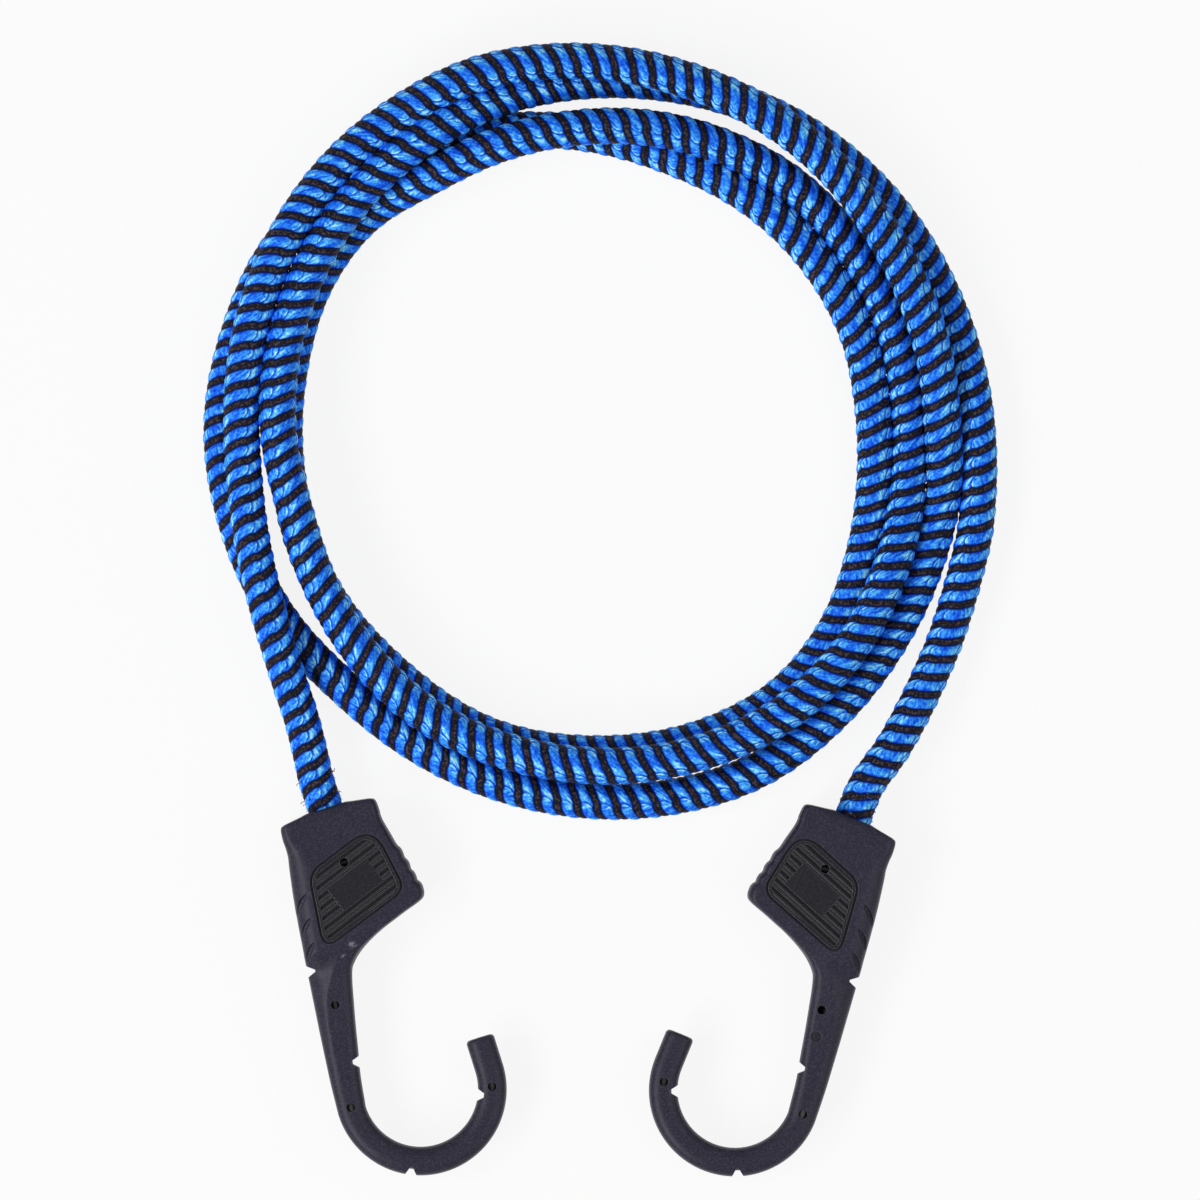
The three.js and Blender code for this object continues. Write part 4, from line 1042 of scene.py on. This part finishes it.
pad_border, pad_ribs, swept_bar = border_tree(), ribs_tree(), swept_tree()
pad_outline = rounded(PAD_CORNERS, PAD_ROUNDS)
border_line = curve_through("border", np.column_stack([
    pad_outline, np.full(len(pad_outline), FACE)]), closed=True)
cut_both_faces(grown("pad_border_groove", border_line, pad_border, {
    "Top width": BORDER_GROOVE[0] * MM, "Bottom width": BORDER_GROOVE[1] * MM,
    "Depth": PAD_DEPTH * MM}), LOWER_ASIDE)
slope = math.radians(RIB_SLOPE)
across_ribs = np.array((-math.sin(slope), math.cos(slope)))
for (top, bottom), depth, aside in (
        (RIB_GROOVE, PAD_DEPTH, 0.0), (FINE_GROOVE, FINE_DEPTH, RIB_PITCH / 2)):
    field = prism(rounded(moved_in(PAD_CORNERS, RIB_MARGIN), PAD_ROUNDS - RIB_MARGIN),
                  (FACE - 1, FACE + 1))
    middle = np.array(PLATE_MIDDLE) - across_ribs * aside
    cut_both_faces(grown("pad_rib_grooves", field.data, pad_ribs, {
        "Pitch": RIB_PITCH * MM, "Count": RIB_COUNT, "Slope": slope, "Top width": top * MM,
        "Bottom width": bottom * MM, "Depth": depth * MM, "Length": RIB_LENGTH * MM,
        "Middle": (*(middle * MM), FACE * MM),
        "Plate": tuple(side * MM for side in PLATE)}), LOWER_ASIDE)
    bpy.data.objects.remove(field)

# Flutes where the fingers curl round the outer edge, each from the face over onto the flank
FLUTES = [(16.4, 20.6), (22.0, 26.2), (27.6, 31.8), (32.4, 35.6)]  # inner and outer end, down
FLUTE_RADIUS = 0.75
FLUTE_REACH = (0.3, 1.35)  # radians round the edge's rounding
FLUTE_POINTS = 13
FLUTE_SIDES = 16
FLUTE_ENDS = 0.35  # the share of a flute over which each end runs out


def on_left_edge(down, turn):
    """A point of the outer edge's rounding: 0 is on the face, and a quarter turn on the flank."""
    left, _, half, wide, high = eased(COVER_ROWS, np.array([down]))[0][:5]
    across = left + DRAFT + (wide - DRAFT) * (1 - math.sin(turn))
    return across, -down, half - high * (1 - math.cos(turn))


shares = np.linspace(0, 1, FLUTE_POINTS)
turns = FLUTE_REACH[0] + (FLUTE_REACH[1] - FLUTE_REACH[0]) * shares
for top, bottom in FLUTES:
    downs = top + (bottom - top) * shares
    line = np.array([on_left_edge(down, turn) for down, turn in zip(downs, turns)])
    cut_both_faces(grown("flute", curve_through("flute", line), swept_bar, {
        "Radius": FLUTE_RADIUS * MM, "Sides": FLUTE_SIDES, "Thin ends": FLUTE_ENDS}))

# The wire's channel runs from near the tip round the bend and up to an eye in the housing
WIRE_RADIUS = 1.9
WIRE_SIDES = 24
WIRE_CLEARANCE = 0.3
WIRE_WAY = [(-11.35, -42.84), (-10.8, -33.48), (-8.41, -25.92)]
TIP_WALL = 3.0
EYE = (0.5, -16.8)
EYE_RADIUS = 4.6
EYE_TURN = 275  # degrees
WIRE_STEP, EYE_STEP = 4, 5  # degrees between the wire's points round the bend and round the eye
WIRE_PARTS = 3  # in each gap between two points
NYLON_EDGE = 34  # degrees, beyond which an edge is drawn sharp


def wire_line(longer=0.0):
    """The wire's middle line, with its ends made longer."""
    line = [(BEND_OFFSET + BEND_RADIUS, -BEND_DROP + TIP_LENGTH - TIP_WALL + longer)]
    line += [on_bend(BEND_RADIUS, -degrees) for degrees in range(0, 181, WIRE_STEP)]
    line += WIRE_WAY
    for degrees in range(0, EYE_TURN + 1, EYE_STEP):
        turn = math.pi - math.radians(degrees)
        line.append((EYE[0] + EYE_RADIUS * math.cos(turn), EYE[1] + EYE_RADIUS * math.sin(turn)))
    line = smooth_line(np.column_stack([np.array(line, float), np.zeros(len(line))]), WIRE_PARTS)
    end = line[-1] - line[-2]
    return np.vstack([line, line[-1] + end / np.linalg.norm(end) * longer]) if longer else line


channel = curve_through("channel", wire_line(WIRE_CLEARANCE))
cut_away(moulding, grown("wire_channel", channel, swept_bar, {
    "Radius": (WIRE_RADIUS + WIRE_CLEARANCE) * MM, "Sides": WIRE_SIDES}))
outward(moulding)
moulding.data.set_sharp_from_angle(angle=math.radians(NYLON_EDGE))

NYLON = (0.016, 0.014, 0.031)
NYLON_TONES = ((0.006, 0.005, 0.0135), (0.0165, 0.014, 0.031))
NYLON_PAD = (0.003, 0.0025, 0.005)
NYLON_FLECK = (0.040, 0.037, 0.058)
NYLON_SCAR = (0.30, 0.29, 0.32)
NYLON_EDGE_HIGHLIGHTS = ((0.085, 0.082, 0.105), (0.15, 0.145, 0.155))  # painted highlights on the body's edges and on the pad's
GRAIN, CLOUD = (2200, 4), (260, 3)  # noise: its spots to the metre and its detail
FLECKED, SCARRED = (0.42, 0.8), (0.35, 0.55)  # from and to where in the grain
FLECKS_OFF_PAD = 0.6  # the share of the flecks that the pads don't have
EDGE_RADIUS = 0.25
EDGE_HIGHLIGHT_TURNS = (0.01, 0.16)  # how sharply an edge turns where its painted highlight starts, and where it is full
NYLON_ROUGHNESS = (0.33, 0.2)  # the least, and how much more with the grain
NYLON_BUMP = (0.7, 0.06)


def plastic_material():
    """Black nylon with a fine grain, with painted highlights on its edges, and darker on the pads."""
    material, tree, shader = new_material("black_nylon", NYLON, 0.4, {"Specular IOR Level": 0.2})
    grain, cloud = noise(tree, *GRAIN), noise(tree, *CLOUD)
    pad, scar = (add(tree, "ShaderNodeAttribute", attribute_name=name)["Fac"]
                 for name in ("pad", "scar"))
    body = mixed(pad, mixed(cloud, *NYLON_TONES), NYLON_PAD)
    body = mixed(step_between(grain, *FLECKED) * (1 - pad * FLECKS_OFF_PAD), body, NYLON_FLECK)
    body = mixed(scar * step_between(grain, *SCARRED), body, NYLON_SCAR)
    soft = add(tree, "ShaderNodeBevel", {"Radius": EDGE_RADIUS * MM}, samples=4)
    flat = add(tree, "ShaderNodeNewGeometry")["Normal"]
    turned = 1 - vector("DOT_PRODUCT", soft, flat)["Value"]
    # A painted highlight along the edges, lighter on the pads
    painted_edge_highlight = step_between(turned * (grain + 0.5), *EDGE_HIGHLIGHT_TURNS)
    link(mixed(painted_edge_highlight, body, mixed(pad, *NYLON_EDGE_HIGHLIGHTS)), shader.inputs["Base Color"])
    link(grain * NYLON_ROUGHNESS[1] + NYLON_ROUGHNESS[0], shader.inputs["Roughness"])
    roughened(shader, grain, *NYLON_BUMP, soft)
    return material


def in_hook(side):
    """Where a hook's own frame lies: the right hook is the same moulding turned over."""
    turned = Matrix.Rotation(math.radians(TILT[side]), 4, "Z")
    if side == "right":
        turned = turned @ Matrix.Rotation(math.pi, 4, "Y")
    return Matrix.Translation(Vector(SHOULDERS[side]) * MM) @ turned


moulding.data.materials.clear()
moulding.data.materials.append(plastic_material())
moulding.data.polygons.foreach_set("material_index", np.zeros(len(moulding.data.polygons), int))

# How far a point lies inside the pads' border, for the nylon's colour
PAD_EDGE = 0.3  # how wide the change of colour is
MARK_SHARE = 0.8  # how much of the pad's colour the ejector's mark on the lower face has
MARK_SLACK = (0.02, 0.05)  # how far past the mark's rim and floor a point still counts as in it
points = np.zeros(len(moulding.data.vertices) * 3)
moulding.data.vertices.foreach_get("co", points)
xs, ys, zs = points.reshape(-1, 3).T / MM
along = np.roll(pad_outline, -1, axis=0) - pad_outline
along /= np.linalg.norm(along, axis=1)[:, None]
pad_xs = xs - LOWER_ASIDE * (zs < 0)
inside = np.min([(pad_xs - x) * v - (ys - y) * u
                 for (x, y), (u, v) in zip(pad_outline, along)], axis=0)
in_pad = np.clip(inside / PAD_EDGE + 0.5, 0, 1) * (np.abs(zs) > FACE - 1)
in_mark = np.hypot(xs - EJECTOR[0], ys + EJECTOR[1]) < EJECTOR_RADIUS + MARK_SLACK[0]
in_mark &= np.abs(zs + shank_face + EJECTOR_PRESS[-1]) < MARK_SLACK[1]
in_pad[in_mark] = MARK_SHARE

# Pale scars where the nylon ran into the mould: across, down from the shoulders, radius
SCARS = [(-3.5, 30.5, 0.42), (-3.15, 31.3, 0.3), (-6.2, 32.6, 0.26)]
in_scar = np.max([1.5 - np.hypot(xs - x, ys + down) / radius for x, down, radius in SCARS], axis=0)
in_scar = np.clip(in_scar, 0, 1) * (zs > FACE - 2)
for name, values in (("pad", in_pad), ("scar", in_scar)):
    moulding.data.attributes.new(name, "FLOAT", "POINT").data.foreach_set("value", values)
for side in ("left", "right"):
    mesh = moulding.data.copy()
    mesh.transform(in_hook(side))
    cover = placed_in_scene(side + "_hook_moulding", mesh)
    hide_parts(side + "_hook_cover")
    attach(cover, side + "_hook")
bpy.data.objects.remove(moulding)


# The steel inside the hooks. A wire bent to the hook's shape, with an eye in the housing, is the
# core that the cover is moulded round, and a crimped ring holds the cord's end in the housing.
FERRULE_RADIUS = 5.4
FERRULE_BORE = 4.42
FERRULE = (1.2, 8.6)  # from and to how far down
FERRULE_EDGE = 0.3
FERRULE_SIDES = 48
FERRULE_EDGE_POINTS = 5
CRIMPS = (3.1, 4.9, 6.7)
CRIMP_DEPTH = 0.35
CRIMP_REACH = 0.7
CRIMP_POINTS = 9
STEEL = (0.06, 0.06, 0.063)
STEEL_TONES = ((0.045, 0.044, 0.047), (0.10, 0.097, 0.095))  # coated and bare
STEEL_COAT = (220, 2, 0.35, 0.75)  # its noise, and from and to where in it the coat gets thinner
STEEL_GRAIN = (1800, 3)
STEEL_ROUGHNESS = (0.32, 0.25)  # the least, and how much more with the grain
STEEL_BUMP = (0.25, 0.03)
STEEL_EDGE = 40  # degrees, beyond which an edge is drawn sharp


def steel_material():
    """Drawn steel, darkened by its phosphate coat, with lighter places where the coat is thin."""
    material, shader, broad = two_toned(
        "dark_steel", STEEL, 0.4, STEEL_TONES, STEEL_COAT, {"Metallic": 1.0})
    fine = noise(broad.tree, *STEEL_GRAIN)
    link(fine * STEEL_ROUGHNESS[1] + STEEL_ROUGHNESS[0], shader.inputs["Roughness"])
    roughened(shader, fine, *STEEL_BUMP)
    return material


def ferrule_profile():
    """Rows of radius and distance down, once round the ring's section."""
    (top, bottom), edge = FERRULE, FERRULE_EDGE
    turns = np.linspace(0, math.pi / 2, FERRULE_EDGE_POINTS)
    rows = [(FERRULE_BORE, top + edge), (FERRULE_BORE + edge, top)]
    rows += [(FERRULE_RADIUS - edge * (1 - math.sin(turn)), top + edge * (1 - math.cos(turn)))
             for turn in turns]
    rows += [(FERRULE_RADIUS - CRIMP_DEPTH * (1 - t * t)**2, middle + t * CRIMP_REACH)
             for middle in CRIMPS for t in np.linspace(-1, 1, CRIMP_POINTS)]
    rows += [(FERRULE_RADIUS - edge * (1 - math.cos(turn)), bottom - edge * (1 - math.sin(turn)))
             for turn in turns]
    return rows + [(FERRULE_BORE + edge, bottom), (FERRULE_BORE, bottom - edge)]


steel = steel_material()
for side in ("left", "right"):
    wire = grown(side + "_hook_wire", curve_through("wire", wire_line()), swept_bar, {
        "Radius": WIRE_RADIUS * MM, "Sides": WIRE_SIDES, "Material": steel})
    ring = turned_round(ferrule_profile(), FERRULE_SIDES, endless=True)
    ring.name = ring.data.name = side + "_crimp_ring"
    ring.data.materials.append(steel)
    for piece, node in ((wire, "hook_core"), (ring, "ferrule")):
        piece.data.transform(in_hook(side))
        outward(piece)
        piece.data.set_sharp_from_angle(angle=math.radians(STEEL_EDGE))
        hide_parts(f"{side}_{node}")
        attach(piece, side + "_hook")


# Frayed yarn. Short broken fibres of the sheath's blue and black polyester stand off where it goes
# into each hook, worn loose by the mouth's edge and still held in the plait at one end.
FIBRE_RADIUS = 0.065
FIBRE_LENGTH = 0.8
FIBRE_MIDDLE = (0.15, 0.0, 0.55)  # where a fibre's bend and its end lie, in its lengths
FIBRE_END = (0.8, 0.35, 0.55)
FIBRE_PARTS, FIBRE_SIDES = 4, 3
FIBRE_SIZES = (0.5, 1.5)
FIBRE_LEAN = 0.9  # radians at most, either way
FIBRE_SHADES = (900, 2, 0.4, 0.65)  # their noise, and from and to where in it they turn light
FRAY_START = 0.3  # from the mouth along the cord
FRAY_REACH = 9.0
FRAY_DENSITY = 0.5  # fibres on each square millimetre at the mouth
FRAY_THINNING = 1.5
SEEDS = {"left": 3, "right": 7}


def fray_tree():
    """Scatters bent fibres over a cord's skin, ever fewer away from its mouth."""
    given = new_tree("frayed_yarn", Float=("Radius", "Length", "Cord radius", "Reach", "Density"),
                     Int=("Seed",), Vector=("Mouth",))
    tree, length = given.tree, given["Length"]
    bent = add(tree, "GeometryNodeCurveQuadraticBezier", {
        "Resolution": FIBRE_PARTS, "Start": (0.0, 0.0, 0.0),
        "Middle": combined(*(length * share for share in FIBRE_MIDDLE)),
        "End": combined(*(length * share for share in FIBRE_END))})
    fibre = swept(bent, circle(FIBRE_SIDES, given["Radius"]))
    skin = swept(given, circle(SHEATH_SIDES, given["Cord radius"]), capped=False)
    away = vector("DISTANCE", add(tree, "GeometryNodeInputPosition"), given["Mouth"])["Value"]
    near = add(tree, "ShaderNodeClamp", (1 - away / given["Reach"],))
    points = add(tree, "GeometryNodeDistributePointsOnFaces", {
        "Mesh": skin, "Density": given["Density"] * near**FRAY_THINNING, "Seed": given["Seed"]})
    spin = add(tree, "FunctionNodeRandomValue", {
        0: (-FIBRE_LEAN, -FIBRE_LEAN, 0.0), 1: (FIBRE_LEAN, FIBRE_LEAN, math.tau),
        "Seed": given["Seed"]}, data_type="FLOAT_VECTOR")
    turned = add(tree, "FunctionNodeRotateRotation", {
        "Rotation": points["Rotation"], "Rotate By": spin}, rotation_space="LOCAL")
    size = add(tree, "FunctionNodeRandomValue", {
        2: FIBRE_SIZES[0], 3: FIBRE_SIZES[1], "Seed": given["Seed"]}, data_type="FLOAT")[1]
    return finished(given, add(tree, "GeometryNodeInstanceOnPoints", {
        "Points": points, "Instance": fibre, "Rotation": turned, "Scale": size}))


frayed_yarn = fray_tree()
fibre_materials = {}
for colour, dark, light in (("blue", BLUE_DARK_AND_SHADED, BLUE_PALE_AND_LIT), ("black", BLACK_YARN, BLACK_LIGHT)):
    fibre_materials[colour] = two_toned(
        colour + "_fibre", dark, 0.6, (dark, light), FIBRE_SHADES, {"Specular IOR Level": 0.2})[0]
cord_radius = CORD_DIAMETER / 2
for side in ("left", "right"):
    mouth_line = curve_through("fray", np.array([
        out_of_hook(side, MOUTH_RISE + FRAY_START + d) for d in np.arange(0, FRAY_REACH)]))
    for seed, (colour, material) in enumerate(fibre_materials.items()):
        fibres = grown(f"{side}_{colour}_fibres", mouth_line, frayed_yarn, {
            "Radius": FIBRE_RADIUS * MM, "Length": FIBRE_LENGTH * MM, "Cord radius": cord_radius * MM,
            "Mouth": tuple(out_of_hook(side, MOUTH_RISE) * MM),
            "Reach": (FRAY_REACH + cord_radius) * MM, "Density": FRAY_DENSITY / MM**2,
            "Seed": seed + SEEDS[side], "Material": material})
        outward(fibres)
        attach(fibres, side + "_hook")


# The table and the light: a plain white top under a soft box, a window and a fill, in an even
# white room. The eye sees both as nearly white, and the table keeps a soft shadow.
FLOOR_SIZE = 6.0
ROOM_LIGHT = 0.27
TABLE_WHITE = (0.75, 0.75, 0.75)
TABLE_GLOW = 0.88  # the share of plain white in what the eye sees of the table
LAMPS = (  # place, width and watts
    ("soft_box", (-1.14, 0.08, 1.1), 0.6, 9),
    ("window", (-0.98, -0.7, 0.95), 0.6, 11),
    ("fill", (1.0, -0.1, 1.1), 1.4, 7.5),
)


def seen_by_eye(tree):
    """1 for what the camera sees, straight, in a gloss or through something clear, and else 0."""
    rays = add(tree, "ShaderNodeLightPath")
    mirrored = rays["Is Glossy Ray"].calc("MAXIMUM", rays["Is Transmission Ray"])
    return rays["Is Camera Ray"].calc("MAXIMUM", mirrored)


floor_mesh = bpy.data.meshes.new("table_top")
half = FLOOR_SIZE / 2
floor_mesh.from_pydata([(-half, -half, 0), (half, -half, 0), (half, half, 0), (-half, half, 0)], [],
                       [(0, 1, 2, 3)])
floor = placed_in_scene("table_top", floor_mesh)
white, table_tree, table_shader = new_material("white_table", TABLE_WHITE, 0.9)
floor_mesh.materials.append(white)
glow = add(table_tree, "ShaderNodeEmission", {"Color": (1, 1, 1, 1), "Strength": 1.0})
surface = add(table_tree, "ShaderNodeMixShader", (
    seen_by_eye(table_tree) * TABLE_GLOW, Output(table_tree, table_shader.outputs[0]), glow))
link(surface, table_tree.nodes["Material Output"].inputs["Surface"])

world = bpy.data.worlds.new("room")
bpy.context.scene.world = world
world.use_nodes = True
room = world.node_tree
sky = room.nodes["Background"]
sky.inputs["Color"].default_value = (1, 1, 1, 1)
link(seen_by_eye(room) * (1 - ROOM_LIGHT) + ROOM_LIGHT, sky.inputs["Strength"])

for name, place, width, watts in LAMPS:
    lamp_data = bpy.data.lights.new(name, "AREA")
    lamp_data.size = width
    lamp_data.energy = watts
    lamp = placed_in_scene(name, lamp_data)
    lamp.location = place
    aim = Vector(VIEW_MIDDLE) * MM - Vector(place)
    lamp.rotation_euler = aim.to_track_quat("-Z", "Y").to_euler()

bpy.context.scene.view_settings.view_transform = "Standard"
